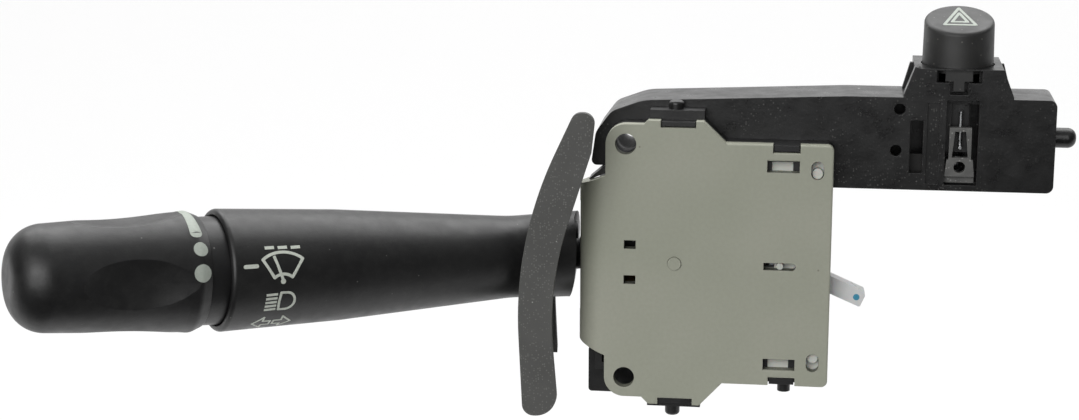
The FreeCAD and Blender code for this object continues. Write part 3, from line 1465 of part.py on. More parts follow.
loom = new_body("stalk_leads")
turned(loom, "leads", [
    (leads_start, 0),
    (leads_start, leads_thin),
    (spigot_end, leads_thick),
    (holder_near - leads_thin, leads_thick),
    (holder_near - leads_thin, 0),
])
on_stalk(loom)
node(loom, "stalk_leads")

washer_rod = new_body("washer_rod")
rotor_near = rod_flange_at + rod_flange_thick
turned(washer_rod, "rod", [
    (rod_near, 0),
    (rod_near, rod_radius),
    (rod_flange_at, rod_radius),
    (rod_flange_at, rod_flange_radius),
    (rotor_near, rod_flange_radius),
    (rotor_near, rod_radius + rod_collar),
    (rod_end, rod_radius + rod_collar),
    (rod_end, 0),
])
on_stalk(washer_rod)
node(washer_rod, "washer_rod")

washer_spring = coil("washer_spring", rod_radius + washer_spring_gap, washer_spring_wire,
                     rod_flange_at - holder_ledge - press_gap * 2, 6)
on_stalk(washer_spring, holder_ledge + press_gap, stalk_turn() * z_to_x)
node(washer_spring, "washer_spring")

rotor = new_body("wiper_rotor")
rotor_floor = rotor_near + fit_gap
knob_floor = knob_near + knob_rim_wide
turned(rotor, "rotor", [
    (rotor_floor, rod_radius + rod_collar + run_gap),
    (rotor_floor, rotor_radius),
    (rotor_floor + rotor_thick, rotor_radius),
    (rotor_floor + rotor_thick, rod_flange_radius),
    (knob_floor, rod_flange_radius),
    (knob_floor, rod_radius + rod_collar + run_gap),
])
on_stalk(rotor)
node(rotor, "wiper_rotor")

neck = new_body("knob_neck")
turned(neck, "neck", [
    (neck_near, rotor_radius + press_gap),
    (neck_near, neck_radius, 0.4),
    (knob_near + neck_lap, neck_radius, 0.4),
    (knob_near + neck_lap, rotor_radius + press_gap),
])
on_stalk(neck)
node(neck, "knob_neck")

# Wiper knob with four finger flutes
knob = new_body("knob_shell")
turned(knob, "knob", [
    (knob_near, neck_radius + press_gap),
    (knob_near, knob_rim - knob_rim_drop),
    (knob_floor, knob_rim, 2.5),
    (knob_floor * 2 - knob_near, knob_rim - knob_rim_drop / 4),
    (knob_mid_at, knob_mid, 90),
    (knob_end, knob_far, knob_dome),
    (knob_end, 0),
    (knob_end - knob_wall, 0),
    (knob_end - knob_wall, knob_far - knob_wall * 2, 4),
    (knob_near + neck_lap + 1, neck_radius - wall),
    (knob_near + neck_lap + 1, neck_radius + press_gap),
])
flute_line = knob_mid + flute_radius - flute_depth
flute_middle = (flute_near + flute_far) / 2
flute_sketch = new_sketch(knob, "flute", "XZ", [[
    (flute_near, flute_line),
    (flute_near, knob_mid + flute_lift),
    (flute_middle, knob_mid - flute_depth - flute_sag, flute_bend),
    (flute_far, knob_mid + flute_lift),
    (flute_far, flute_line),
]])
flute_axis = flute_sketch.addGeometry(
    Part.LineSegment(Vector(flute_near.value, flute_line.value, 0),
                     Vector(flute_far.value, flute_line.value, 0)), True)
axis_datum = flute_sketch.ConstraintCount
flute_sketch.addConstraint([
    Sketcher.Constraint("DistanceX", -1, 1, flute_axis, 1, flute_near.value),
    Sketcher.Constraint("DistanceX", -1, 1, flute_axis, 2, flute_far.value),
    Sketcher.Constraint("DistanceY", -1, 1, flute_axis, 1, flute_line.value),
    Sketcher.Constraint("Horizontal", flute_axis),
])
for step, number in enumerate((flute_near, flute_far, flute_line)):
    bind(flute_sketch, "Constraints[%d]" % (axis_datum + step), number)
flute = knob.newObject("PartDesign::Groove", "flute")
flute.Profile = flute_sketch
flute.ReferenceAxis = (flute_sketch, ["Axis0"])
flute.Angle = 360
doc.recompute()
flutes = knob.newObject("PartDesign::PolarPattern", "flutes")
flutes.Originals = [flute]
flutes.Axis = (origin_feature(knob, "X_Axis"), [""])
flutes.Angle = 360
flutes.Occurrences = flute_count
knob.Tip = flutes
doc.recompute()
on_stalk(knob, 0.0, stalk_turn(flute_roll))
node(knob, "knob_shell")

doc.recompute()
for thing in doc.Objects:
    if "Invalid" in thing.State or "Error" in thing.State:
        raise ValueError("failed object: " + thing.Label)
for piece in nodes:
    if piece.Shape.isNull() or not piece.Shape.isValid() or not piece.Shape.Solids:
        raise ValueError("bad shape: " + piece.Label)
os.makedirs("parts", exist_ok=True)
for piece in nodes:
    piece.Shape.exportStep("parts/%s.step" % piece.Label)
print(len(nodes), "pieces written")
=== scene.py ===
"""Looks of the combination stalk switch: finishes, printed marks, light and camera."""

import json
import math

import bmesh
import bpy
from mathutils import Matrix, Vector
from mathutils.bvhtree import BVHTree
from mathutils.geometry import delaunay_2d_cdt


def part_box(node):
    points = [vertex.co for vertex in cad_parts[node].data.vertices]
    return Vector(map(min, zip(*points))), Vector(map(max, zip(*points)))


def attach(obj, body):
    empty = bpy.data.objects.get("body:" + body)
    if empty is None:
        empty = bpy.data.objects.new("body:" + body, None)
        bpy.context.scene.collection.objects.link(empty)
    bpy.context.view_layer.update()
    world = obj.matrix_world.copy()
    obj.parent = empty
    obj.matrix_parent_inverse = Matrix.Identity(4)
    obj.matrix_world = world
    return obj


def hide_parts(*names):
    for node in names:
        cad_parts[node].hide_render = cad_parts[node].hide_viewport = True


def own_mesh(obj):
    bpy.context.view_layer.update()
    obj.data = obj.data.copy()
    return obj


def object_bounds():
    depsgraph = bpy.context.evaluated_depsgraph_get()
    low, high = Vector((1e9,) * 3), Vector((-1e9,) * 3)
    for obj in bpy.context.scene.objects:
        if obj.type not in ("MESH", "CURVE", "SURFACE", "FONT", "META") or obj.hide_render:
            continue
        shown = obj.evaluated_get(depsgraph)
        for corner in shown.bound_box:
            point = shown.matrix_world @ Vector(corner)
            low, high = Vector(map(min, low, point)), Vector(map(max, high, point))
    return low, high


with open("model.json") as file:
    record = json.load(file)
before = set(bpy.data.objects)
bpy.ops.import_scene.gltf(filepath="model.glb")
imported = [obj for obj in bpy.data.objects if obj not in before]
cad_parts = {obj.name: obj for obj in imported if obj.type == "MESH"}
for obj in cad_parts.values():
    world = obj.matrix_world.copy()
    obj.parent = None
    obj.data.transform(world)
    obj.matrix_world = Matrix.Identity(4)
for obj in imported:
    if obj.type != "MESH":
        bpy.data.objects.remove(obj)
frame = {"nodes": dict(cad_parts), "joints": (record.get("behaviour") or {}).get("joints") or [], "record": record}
cad_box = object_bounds()

MM = 0.001
UP = Vector((0, 0, 1))
REARWARD = Vector((0, 1, 0))

# Camera, by the photograph's frame
PHOTO_WIDTH = 1079
FOCAL_PIXELS = 2200
SENSOR = 36
CAMERA_AZIMUTH = 7.5
CAMERA_ELEVATION = 13
CAMERA_PLACE = (54.29 * MM, -594.94 * MM, 152.76 * MM)
CLIP_NEAR = 0.05
CLIP_FAR = 20

# Printed marks
INK = 0.08 * MM
INK_GRID = 0.42 * MM
INK_MERGE = 0.004 * MM
STROKE = 0.8 * MM
FINE_STROKE = 0.68 * MM
ARROW_STROKE = 0.5 * MM
DASH_STROKE = 0.85 * MM
HAZARD_STROKE = 0.85 * MM
INDEX_STROKE = 1.05 * MM
SYMBOL_AT = 95 * MM
CHART_RADIUS = 16 * MM
REACH = 40 * MM

# Finishes: how edges are eased and found, how far painted recess shade reaches, and where noise has its patches
EDGE = 0.22 * MM
EDGE_FLAT = 0.985
EDGE_TURNED = 0.85
RECESS_SHADE_REACH = 7 * MM
PATCH_LOW = 0.3
PATCH_HIGH = 0.7
GRAIN_CORE = 0.6

# Black sheets of painted shade in the plate's two windows
WINDOW_LEFT = 39.15 * MM
WINDOW_RIGHT = 47.95 * MM
WINDOW_LOW = 26.75 * MM
WINDOW_HIGH = 29.85 * MM
SHADE_SHEET_LEFT = 1.2 * MM
SHADE_SHEET_RIGHT = 1.8 * MM
SHADE_SHEET_TOP = 0.6 * MM
SHADE_SHEET_THICK = 0.5 * MM

# Stage and light
WHITE = (1, 1, 1, 1)
SWEEP_COLOUR = (0.86, 0.86, 0.86, 1)
SWEEP_SHADOW = 0.16
ROOM_DIM = 0.05
ROOM_BRIGHT = 0.45
ROOM_DIM_BELOW = 0.1
ROOM_TO_GLOSS = 0.08

# Lamps: each one's place from the part's middle, its width and height, and its watts
LAMPS = {
    "box_above": ((-0.05, 0.5, 0.9), 1.9, 0.9, 16),
    "box_front": ((-0.42, -1.4, 0.5), 1.5, 1.1, 19),
}


def shade(red, green, blue):
    """Linear colour of a tone as the eye reads it, from 0 to 255 a channel."""
    linear = []
    for level in (red, green, blue):
        part = level / 255
        if part <= 0.04045:
            linear.append(part / 12.92)
        else:
            linear.append(((part + 0.055) / 1.055) ** 2.4)
    return (*linear, 1)


class Shading:
    """A shader tree under construction."""

    def __init__(self, owner):
        owner.use_nodes = True
        self.tree = owner.node_tree

    def join(self, value, socket):
        """Link a socket to another one, or set its value."""
        if isinstance(value, bpy.types.NodeSocket):
            self.tree.links.new(value, socket)
        else:
            socket.default_value = value

    def add(self, kind, inputs, **settings):
        made = self.tree.nodes.new(kind)
        for key, value in settings.items():
            setattr(made, key, value)
        for key, value in inputs.items():
            self.join(value, made.inputs[key])
        return made

    def remap(self, value, low, high, to_low, to_high, **settings):
        ends = {"From Min": low, "From Max": high, "To Min": to_low, "To Max": to_high}
        return self.add("ShaderNodeMapRange", {"Value": value, **ends}, **settings).outputs[0]

    def maths(self, operation, first, second):
        made = self.add("ShaderNodeMath", {0: first, 1: second}, operation=operation)
        return made.outputs[0]


class Finish(Shading):
    """A node material under construction, laid out in the part's own metres."""

    def __init__(self, name, edge=EDGE):
        self.material = bpy.data.materials.new(name)
        super().__init__(self.material)
        self.shader = self.tree.nodes["Principled BSDF"]
        self.place = self.add("ShaderNodeTexCoord", {}).outputs["Object"]
        self.eased = self.add("ShaderNodeBevel", {"Radius": edge}, samples=4).outputs[0]

    def noise(self, scale, detail=3, roughness=0.55, stretch=(1, 1, 1)):
        """Noise with about scale features to the metre."""
        place = self.add("ShaderNodeMapping", {"Vector": self.place, "Scale": stretch}).outputs[0]
        made = self.add("ShaderNodeTexNoise", {
            "Vector": place, "Scale": scale, "Detail": detail, "Roughness": roughness})
        return made.outputs[0]

    def drift(self, scale, detail, low, high, roughness=0.55):
        """A value that wanders from low to high in soft patches."""
        return self.remap(self.noise(scale, detail, roughness), PATCH_LOW, PATCH_HIGH, low, high)

    def blend(self, factor, first, second):
        made = self.add("ShaderNodeMix", {0: factor, 6: first, 7: second}, data_type="RGBA")
        return made.outputs[2]

    def clouded(self, scale, detail, first, second, roughness=0.55):
        """A colour that wanders between two tones."""
        return self.blend(self.drift(scale, detail, 0, 1, roughness), first, second)

    def specks(self, scale, share, size):
        """A factor that is 1 in scattered grains: size is a grain's radius in cells."""
        cells = self.add("ShaderNodeTexVoronoi", {"Vector": self.place, "Scale": scale})
        grain = self.remap(cells.outputs["Distance"], size, size * GRAIN_CORE, 0, 1)
        lot = self.add("ShaderNodeSeparateColor", {0: cells.outputs["Color"]}).outputs[0]
        chosen = self.maths("LESS_THAN", lot, share)
        return self.maths("MULTIPLY", grain, chosen)

    def flecked(self, tone, fleck, scale, share, size):
        """The tone with scattered grains of another colour."""
        return self.blend(self.specks(scale, share, size), tone, fleck)

    def edges(self):
        """A factor that rises to 1 along the eased edges."""
        flat = self.add("ShaderNodeNewGeometry", {}).outputs["Normal"]
        along = self.add("ShaderNodeVectorMath", {0: self.eased, 1: flat}, operation="DOT_PRODUCT")
        return self.remap(along.outputs["Value"], EDGE_FLAT, EDGE_TURNED, 0, 1)

    def worn_and_highlit_edges(self, tone, worn_and_highlit_tone, share):
        """The tone, going over to a paler one along the eased edges: partly wear, partly a painted highlight where
        edges catch the light.
        """
        return self.blend(self.maths("MULTIPLY", self.edges(), share), tone, worn_and_highlit_tone)

    def painted_shade_openness(self, shut=0.2, clear=0.7):
        """A factor for painted shade: 1 on open faces, falling to 0 down bores, slots and inner corners, where a
        finish blends its tone towards black.
        """
        sky = self.add("ShaderNodeAmbientOcclusion", {"Distance": RECESS_SHADE_REACH}, samples=6, only_local=True)
        return self.remap(sky.outputs["AO"], shut, clear, 0, 1)

    def dulled(self, sheen, painted_shade_openness):
        """Roughness that goes fully matt in recesses."""
        return self.maths("MAXIMUM", sheen, self.remap(painted_shade_openness, 0, 1, 1, 0))

    def bump(self, height, distance, strength=1.0, under=None):
        """A normal with fine relief, laid on the eased edges or on a coarser relief."""
        return self.add("ShaderNodeBump", {
            "Height": height, "Distance": distance, "Strength": strength,
            "Normal": self.eased if under is None else under}).outputs[0]

    def finish(self, colour, roughness, normal, **constants):
        """The finished material, with the shader's own constant values."""
        self.join(colour, self.shader.inputs["Base Color"])
        self.join(roughness, self.shader.inputs["Roughness"])
        self.join(normal, self.shader.inputs["Normal"])
        for key, value in constants.items():
            self.shader.inputs[key.replace("_", " ")].default_value = value
        return self.material


def plate_finish():
    """Grey-beige moulding: cloudy tone, fine spark-eroded grain, a few dark flecks."""
    look = Finish("plate_moulding")
    tone = look.clouded(22, 2, shade(154, 157, 141), shade(165, 166, 152))
    fine = look.remap(look.noise(900, 2), 0.35, 0.65, 0, 0.16)
    tone = look.blend(fine, tone, shade(139, 141, 127))
    tone = look.flecked(tone, shade(118, 118, 107), 260, 0.03, 0.12)
    # paler eased edges: partly wear, partly a painted highlight
    tone = look.worn_and_highlit_edges(tone, shade(196, 197, 184), 0.45)
    painted_shade_openness = look.painted_shade_openness()
    # painted shade: the tone goes near black down bores, slots and inner corners
    tone = look.blend(painted_shade_openness, shade(12, 12, 11), tone)
    sheen = look.drift(60, 3, 0.44, 0.56)
    wave = look.bump(look.noise(35, 1), 0.25 * MM, 0.25)
    grain = look.bump(look.noise(1700, 2), 0.03 * MM, 0.5, wave)
    return look.finish(tone, look.dulled(sheen, painted_shade_openness), grain)


def black_finish():
    """Black satin moulding of the housing and its covers."""
    look = Finish("black_moulding")
    tone = look.clouded(30, 3, shade(14, 14, 15), shade(24, 24, 24))
    tone = look.flecked(tone, shade(92, 92, 90), 700, 0.05, 0.2)
    # paler eased edges: partly wear, partly a painted highlight
    tone = look.worn_and_highlit_edges(tone, shade(74, 74, 74), 0.5)
    painted_shade_openness = look.painted_shade_openness()
    # painted shade: the tone goes near black down bores, slots and inner corners
    tone = look.blend(painted_shade_openness, shade(4, 4, 4), tone)
    sheen = look.drift(140, 3, 0.34, 0.5)
    grain = look.bump(look.noise(1500, 3), 0.05 * MM, 0.6)
    return look.finish(tone, look.dulled(sheen, painted_shade_openness), grain)


def stalk_finish():
    """Satin black with a fine leathery grain, faintly mottled."""
    look = Finish("stalk_satin")
    tone = look.clouded(45, 4, shade(14, 14, 15), shade(22, 22, 22))
    mottle = look.remap(look.noise(420, 3, 0.7), 0.45, 0.75, 0, 0.5)
    tone = look.blend(mottle, tone, shade(36, 36, 35))
    tone = look.flecked(tone, shade(84, 84, 81), 900, 0.012, 0.22)
    # painted shade: the tone goes near black in the knob's flutes and other hollows
    tone = look.blend(look.painted_shade_openness(0.7, 0.96), shade(5, 5, 5), tone)
    sheen = look.drift(260, 3, 0.36, 0.47)
    soft = look.bump(look.noise(330, 2), 0.05 * MM, 0.35)
    grain = look.bump(look.noise(2100, 2), 0.035 * MM, 0.6, soft)
    return look.finish(tone, sheen, grain)


def arm_finish():
    """Glossier black, coarse grain with painted glints, and white dust."""
    look = Finish("arm_gloss")
    tone = look.clouded(26, 3, shade(7, 7, 8), shade(14, 14, 14))
    # painted highlight: pale glints scattered in patches over the grain
    patch = look.remap(look.noise(55, 3, 0.7), 0.48, 0.68, 0, 1)
    painted_glints = look.maths("MULTIPLY", look.specks(1500, 0.3, 0.4), patch)
    tone = look.blend(painted_glints, tone, shade(84, 84, 82))
    tone = look.flecked(tone, shade(200, 200, 198), 330, 0.035, 0.14)
    # paler eased edges: partly wear, partly a painted highlight
    tone = look.worn_and_highlit_edges(tone, shade(84, 84, 84), 0.55)
    painted_shade_openness = look.painted_shade_openness()
    # painted shade: the tone goes near black down bores, slots and inner corners
    tone = look.blend(painted_shade_openness, shade(2, 2, 2), tone)
    sheen = look.drift(180, 3, 0.26, 0.4)
    soft = look.bump(look.noise(160, 2), 0.06 * MM, 0.3)
    grain = look.bump(look.noise(1150, 3), 0.06 * MM, 0.5, soft)
    return look.finish(tone, look.dulled(sheen, painted_shade_openness), grain)


def finger_finish():
    """Dull dark grey of the latch finger, speckled."""
    look = Finish("finger_grey")
    tone = look.clouded(300, 3, shade(80, 80, 79), shade(98, 98, 96))
    tone = look.flecked(tone, shade(138, 138, 135), 1400, 0.25, 0.4)
    # paler eased edges: partly wear, partly a painted highlight
    tone = look.worn_and_highlit_edges(tone, shade(150, 150, 147), 0.5)
    grain = look.bump(look.noise(1300, 3), 0.06 * MM, 0.7)
    return look.finish(tone, 0.55, grain)


def button_finish():
    """Dark grey satin of the push button, its edges a little paler from wear and a painted highlight."""
    look = Finish("button_satin")
    tone = look.clouded(70, 4, shade(32, 32, 32), shade(46, 46, 45), 0.65)
    tone = look.flecked(tone, shade(88, 87, 83), 1100, 0.06, 0.3)
    # paler eased edges: partly wear, partly a painted highlight
    tone = look.worn_and_highlit_edges(tone, shade(92, 92, 90), 0.4)
    sheen = look.drift(200, 3, 0.42, 0.56)
    grain = look.bump(look.noise(1800, 2), 0.035 * MM, 0.6)
    return look.finish(tone, sheen, grain)


def shield_finish():
    """Dark grey closing leaf, full of fine pale grains."""
    look = Finish("shield_grey")
    tone = look.clouded(35, 3, shade(72, 72, 70), shade(88, 88, 86))
    tone = look.flecked(tone, shade(104, 104, 101), 1700, 0.35, 0.42)
    tone = look.flecked(tone, shade(150, 150, 146), 900, 0.03, 0.22)
    # paler eased edges: partly wear, partly a painted highlight
    tone = look.worn_and_highlit_edges(tone, shade(126, 126, 123), 0.5)
    sheen = look.drift(200, 3, 0.5, 0.64)
    grain = look.bump(look.noise(1500, 3), 0.05 * MM, 0.7)
    return look.finish(tone, sheen, grain)


def white_finish():
    """Natural white nylon with painted shade down its recesses, slightly clear."""
    look = Finish("white_nylon")
    tone = look.clouded(60, 3, shade(196, 197, 190), shade(212, 212, 205))
    tone = look.flecked(tone, shade(160, 158, 148), 500, 0.03, 0.2)
    # painted shade: the white goes dark grey down bores, slots and inner corners
    tone = look.blend(look.painted_shade_openness(), shade(58, 58, 55), tone)
    sheen = look.drift(150, 3, 0.34, 0.46)
    grain = look.bump(look.noise(1400, 2), 0.025 * MM, 0.5)
    return look.finish(tone, sheen, grain, Subsurface_Weight=0.15, Subsurface_Scale=1.2 * MM)


def pawl_finish():
    """Smooth white of the cancelling pawl."""
    look = Finish("pawl_white")
    tone = look.clouded(120, 3, shade(206, 208, 208), shade(222, 223, 222))
    sheen = look.drift(240, 3, 0.26, 0.36)
    grain = look.bump(look.noise(900, 2), 0.015 * MM, 0.5)
    return look.finish(tone, sheen, grain, Subsurface_Weight=0.12, Subsurface_Scale=1.2 * MM)


def board_finish():
    """Brown laminate, its weave just showing."""
    look = Finish("board_laminate")
    weave = look.noise(700, 2, 0.5, (1, 1, 5))
    tone = look.blend(look.remap(weave, 0.35, 0.65, 0, 1), shade(122, 92, 56), shade(150, 116, 74))
    return look.finish(tone, 0.5, look.bump(weave, 0.03 * MM, 0.5))


def brass_finish():
    """Stamped brass strip with rolling lines and a dull bloom."""
    look = Finish("brass_strip")
    lines = look.noise(900, 2, 0.5, (1, 1, 0.06))
    bloom = look.remap(look.noise(160, 3), 0.4, 0.75, 0, 0.6)
    tone = look.blend(bloom, shade(214, 178, 104), shade(164, 128, 72))
    sheen = look.remap(lines, PATCH_LOW, PATCH_HIGH, 0.24, 0.42)
    return look.finish(tone, sheen, look.bump(lines, 0.01 * MM, 0.4), Metallic=1.0)


def slot_shade_contact_finish():
    """Spring contacts, painted near black as the shade of the slot they show through."""
    look = Finish("contact_painted_shade")
    bloom = look.remap(look.noise(300, 3), 0.35, 0.7, 0, 1)
    tone = look.blend(bloom, shade(10, 9, 8), shade(18, 16, 14))
    return look.finish(tone, 0.55, look.bump(look.noise(1200, 2), 0.01 * MM, 0.5))


def steel_finish():
    """Zinc-plated steel, lightly clouded."""
    look = Finish("plated_steel")
    tone = look.clouded(260, 3, shade(176, 178, 180), shade(200, 201, 201))
    sheen = look.drift(700, 3, 0.22, 0.4)
    return look.finish(tone, sheen, look.bump(look.noise(1600, 2), 0.01 * MM, 0.4), Metallic=1.0)


def leads_finish():
    """Braided black sleeve on the lead bundle."""
    look = Finish("lead_sleeve")
    braid = look.add("ShaderNodeTexWave", {
        "Vector": look.place, "Scale": 420, "Distortion": 1.5, "Detail": 1.0}, bands_direction="DIAGONAL")
    tone = look.blend(braid.outputs["Fac"], shade(26, 26, 27), shade(48, 48, 48))
    return look.finish(tone, 0.6, look.bump(braid.outputs["Fac"], 0.12 * MM, 0.7))


def ink_finish(name, colour, worn):
    """Pad-printed ink: even tone with a thin, slightly worn film."""
    look = Finish(name, 0)
    film = look.remap(look.noise(1300, 3, 0.65), 0.42, 0.7, 0, 0.55)
    tone = look.blend(film, colour, worn)
    return look.finish(tone, 0.5, look.bump(look.noise(1900, 2), 0.02 * MM, 0.5))


FINISHES = {
    "plate": plate_finish(),
    "black_moulding": black_finish(),
    "arm": arm_finish(),
    "button": button_finish(),
    "stalk": stalk_finish(),
    "shield": shield_finish(),
    "white_moulding": white_finish(),
    "pawl": pawl_finish(),
    "board": board_finish(),
    "brass": brass_finish(),
    "steel": steel_finish(),
    "leads": leads_finish(),
}


def dress_nodes():
    """Give each CAD node the finish of its slot, and two of them one of their own."""
    # the hazard contacts take a near-black finish as painted shade of their slot
    own = {"latch_finger": finger_finish(), "hazard_contacts": slot_shade_contact_finish()}
    for part in frame["record"]["subparts"]:
        look = own.get(part["node"], FINISHES[part["material_slot"]])
        for slot in frame["nodes"][part["node"]].material_slots:
            slot.material = look


def joint(name):
    return [item for item in frame["joints"] if item["name"] == name][0]


def mm(points):
    return [(across * MM, up * MM) for across, up in points]


def bar(left, low, right, high, thick):
    """Corners of a straight stroke with square ends."""
    run = Vector((right - left, high - low))
    side = Vector((-run.y, run.x)).normalized() * thick / 2
    start = Vector((left, low))
    end = Vector((right, high))
    return [start - side, end - side, end + side, start + side]


def disc(across, up, radius, steps=28):
    """A round dot."""
    turn = 2 * math.pi / steps
    return [Vector((across + radius * math.cos(i * turn), up + radius * math.sin(i * turn)))
            for i in range(steps)]


def pill(left, low, right, high, thick):
    """A straight stroke with round ends, as its three shapes."""
    return [bar(left, low, right, high, thick), disc(left, low, thick / 2), disc(right, high, thick / 2)]


def trace(points, thick, closed=False):
    """A bent stroke, as one bar for each run and a dot at each bend."""
    runs = list(zip(points, points[1:] + points[:1] if closed else points[1:]))
    shapes = [bar(*a, *b, thick) for a, b in runs]
    bends = points if closed else points[1:-1]
    return shapes + [disc(*p, thick / 2, 12) for p in bends]


def bow(left, right, level, crown, steps=14):
    """Points of an arc from left to right at level, whose middle stands at crown."""
    half = (right - left) / 2
    rise = crown - level
    radius = (half ** 2 + rise ** 2) / (2 * rise)
    span = math.asin(half / radius)
    middle = (left + right) / 2
    return [(middle + radius * math.sin(span * (2 * i / steps - 1)),
             crown - radius + radius * math.cos(span * (2 * i / steps - 1)))
            for i in range(steps + 1)]


def polygon_area(points):
    return sum(a.x * b.y - b.x * a.y for a, b in zip(points, points[1:] + points[:1])) / 2


def holds(shape, point):
    """Whether an outline holds a point."""
    inside = False
    for a, b in zip(shape, shape[1:] + shape[:1]):
        if (a.y > point.y) != (b.y > point.y):
            if point.x < a.x + (point.y - a.y) / (b.y - a.y) * (b.x - a.x):
                inside = not inside
    return inside


def merged(shapes):
    """One flat triangle mesh that covers all the shapes, fine enough to bend round a surface."""
    points = []
    faces = []
    for shape in shapes:
        loop = shape if polygon_area(shape) > 0 else shape[::-1]
        faces.append(list(range(len(points), len(points) + len(loop))))
        points.extend(loop)
    low_x = min(p.x for p in points)
    low_y = min(p.y for p in points)
    wide = int((max(p.x for p in points) - low_x) / INK_GRID) + 1
    high = int((max(p.y for p in points) - low_y) / INK_GRID) + 1
    grid = [Vector((low_x + (i + 0.5) * INK_GRID, low_y + (j + 0.5) * INK_GRID))
            for i in range(wide) for j in range(high)]
    points.extend([p for p in grid if any(holds(shape, p) for shape in shapes)])
    flat, _, cells, _, _, _ = delaunay_2d_cdt(points, [], faces, 0, INK_MERGE)
    inked = []
    for cell in cells:
        middle = sum((flat[i] for i in cell), Vector((0, 0))) / len(cell)
        if any(holds(shape, middle) for shape in shapes):
            inked.append(cell)
    return flat, inked


def surface(node):
    """The node's own mesh, ready to be met by a ray."""
    mesh = frame["nodes"][node].data
    return BVHTree.FromPolygons([v.co for v in mesh.vertices], [p.vertices for p in mesh.polygons])


def piece(name, shell, finish, body):
    """A scene object from a mesh under construction, riding on a body."""
    bmesh.ops.recalc_face_normals(shell, faces=shell.faces)
    mesh = bpy.data.meshes.new(name)
    shell.to_mesh(mesh)
    shell.free()
    mesh.materials.append(finish)
    made = bpy.data.objects.new(name, mesh)
    bpy.context.scene.collection.objects.link(made)
    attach(made, body)
    return made


def printed(name, shapes, chart, node, body, finish):
    """A thin film of ink in the given flat shapes, laid on a node along the chart's rays."""
    flat, cells = merged(shapes)
    skin = surface(node)
    shell = bmesh.new()
    tops = []
    backs = []
    used = {i for cell in cells for i in cell}
    for number, point in enumerate(flat):
        if number not in used:
            tops.append(None)
            backs.append(None)
            continue
        start, direction = chart(point.x, point.y)
        place, normal, _, _ = skin.ray_cast(start, direction, 2 * REACH)
        if normal.dot(direction) > 0:
            normal = -normal
        tops.append(shell.verts.new(place + normal * INK))
        backs.append(shell.verts.new(place - normal * INK))
    edges = {}
    for cell in cells:
        shell.faces.new([tops[i] for i in cell])
        shell.faces.new([backs[i] for i in reversed(cell)])
        for a, b in zip(cell, cell[1:] + cell[:1]):
            edges[(a, b)] = (b, a)
    for (a, b), back in edges.items():
        if back not in edges:
            shell.faces.new([tops[b], tops[a], backs[a], backs[b]])
    return piece(name, shell, finish, body)


def stalk_chart(across, up):
    """Ray onto the stalk: across runs towards its root from the symbols, up runs round it."""
    outward = -Vector(joint("wiper_turn")["axis"]).normalized()
    root = Vector(joint("wiper_turn")["pos_m"])
    side = outward.cross(UP).normalized()
    if side.y > 0:
        side = -side
    over = side.cross(outward).normalized()
    if over.z < 0:
        over = -over
    angle = up / CHART_RADIUS
    direction = side * math.cos(angle) + over * math.sin(angle)
    return root + outward * (SYMBOL_AT - across) + direction * REACH, -direction


def top_chart(across, up):
    """Ray down onto the slanted top of the button, from its axis."""
    low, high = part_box("hazard_cap")
    middle = (low + high) / 2
    return Vector((middle.x + across, middle.y + up, high.z + REACH)), -UP


def front_chart(across, up):
    """Ray towards the rear, at a place in the plate's own plane."""
    return Vector((across, -REACH, up)), REARWARD


def wiper_shapes():
    """Washed windscreen: its outline, the wiper and its pivot, with three dashes above."""
    glass_top = bow(-5.3 * MM, 5.9 * MM, 6.0 * MM, 7.9 * MM)
    glass_foot = bow(-2.15 * MM, 2.85 * MM, 1.15 * MM, 2.05 * MM)
    shapes = trace(glass_top + glass_foot[::-1], STROKE, closed=True)
    shapes += trace(mm([(-2.1, 6.9), (0.31, 0.3)]), STROKE)
    shapes.append(disc(0.31 * MM, 0.1 * MM, 0.72 * MM))
    dash_long = 2.6
    for left in (-4.4, -0.75, 2.9):
        shapes.append(bar(left * MM, 9.12 * MM, (left + dash_long) * MM, 9.22 * MM, DASH_STROKE))
    return shapes


def beam_shapes():
    """High beam: a lamp in outline and its five straight rays."""
    lens_at = 1.7 * MM
    lens_level = -5.7 * MM
    lens_deep = 2.35 * MM
    lens_half = 2.65 * MM
    steps = 12
    lens = [(lens_at + lens_deep * math.cos(turn), lens_level + lens_half * math.sin(turn))
            for turn in [math.pi * (0.5 - i / steps) for i in range(steps + 1)]]
    mirror = mm([(-0.15, -8.35), (-0.3, -5.7), (0.0, -3.05)])
    shapes = trace(mirror + lens, FINE_STROKE, closed=True)
    ray_left = -4.1 * MM
    ray_right = -0.95 * MM
    ray_rise = 0.06 * MM
    ray_top = -3.5
    ray_pitch = 1.17
    for i in range(5):
        level = (ray_top - ray_pitch * i) * MM
        shapes.append(bar(ray_left, level - ray_rise, ray_right, level + ray_rise, FINE_STROKE))
    return shapes


def arrow_shapes():
    """Turn signal: two hollow arrows that point apart."""
    level = 14.2
    half_head = 2.9
    half_shaft = 1.0
    neck_reach = 2.8
    tail_reach = 4.9
    shapes = []
    for tip, way in ((-6.0, 1), (4.75, -1)):
        neck = tip + neck_reach * way
        tail = tip + tail_reach * way
        outline = [(tip, 0), (neck, half_head), (neck, half_shaft), (tail, half_shaft),
                   (tail, -half_shaft), (neck, -half_shaft), (neck, -half_head)]
        shapes += trace(mm([(across, up - level) for across, up in outline]), ARROW_STROKE, closed=True)
    return shapes


def crescent_shapes():
    """Setting mark on the knob: a band that tapers as it goes over the top."""
    steps = 18
    start = 14.6
    end = 31.0
    foot_across = -21.9
    lean = 0.5
    foot_half = 1.6
    taper = 0.95
    left = []
    right = []
    for i in range(steps + 1):
        up = start + (end - start) * i / steps
        across = foot_across - lean * i / steps
        half = foot_half - taper * i / steps
        left.append(Vector(((across - half) * MM, up * MM)))
        right.append(Vector(((across + half) * MM, up * MM)))
    return [left + right[::-1], disc(foot_across * MM, start * MM, foot_half * MM)]


def triangle(half, low, high):
    """One outline of the hazard warning."""
    return trace([Vector((-half, low)), Vector((half, low)), Vector((0, high))], HAZARD_STROKE, closed=True)


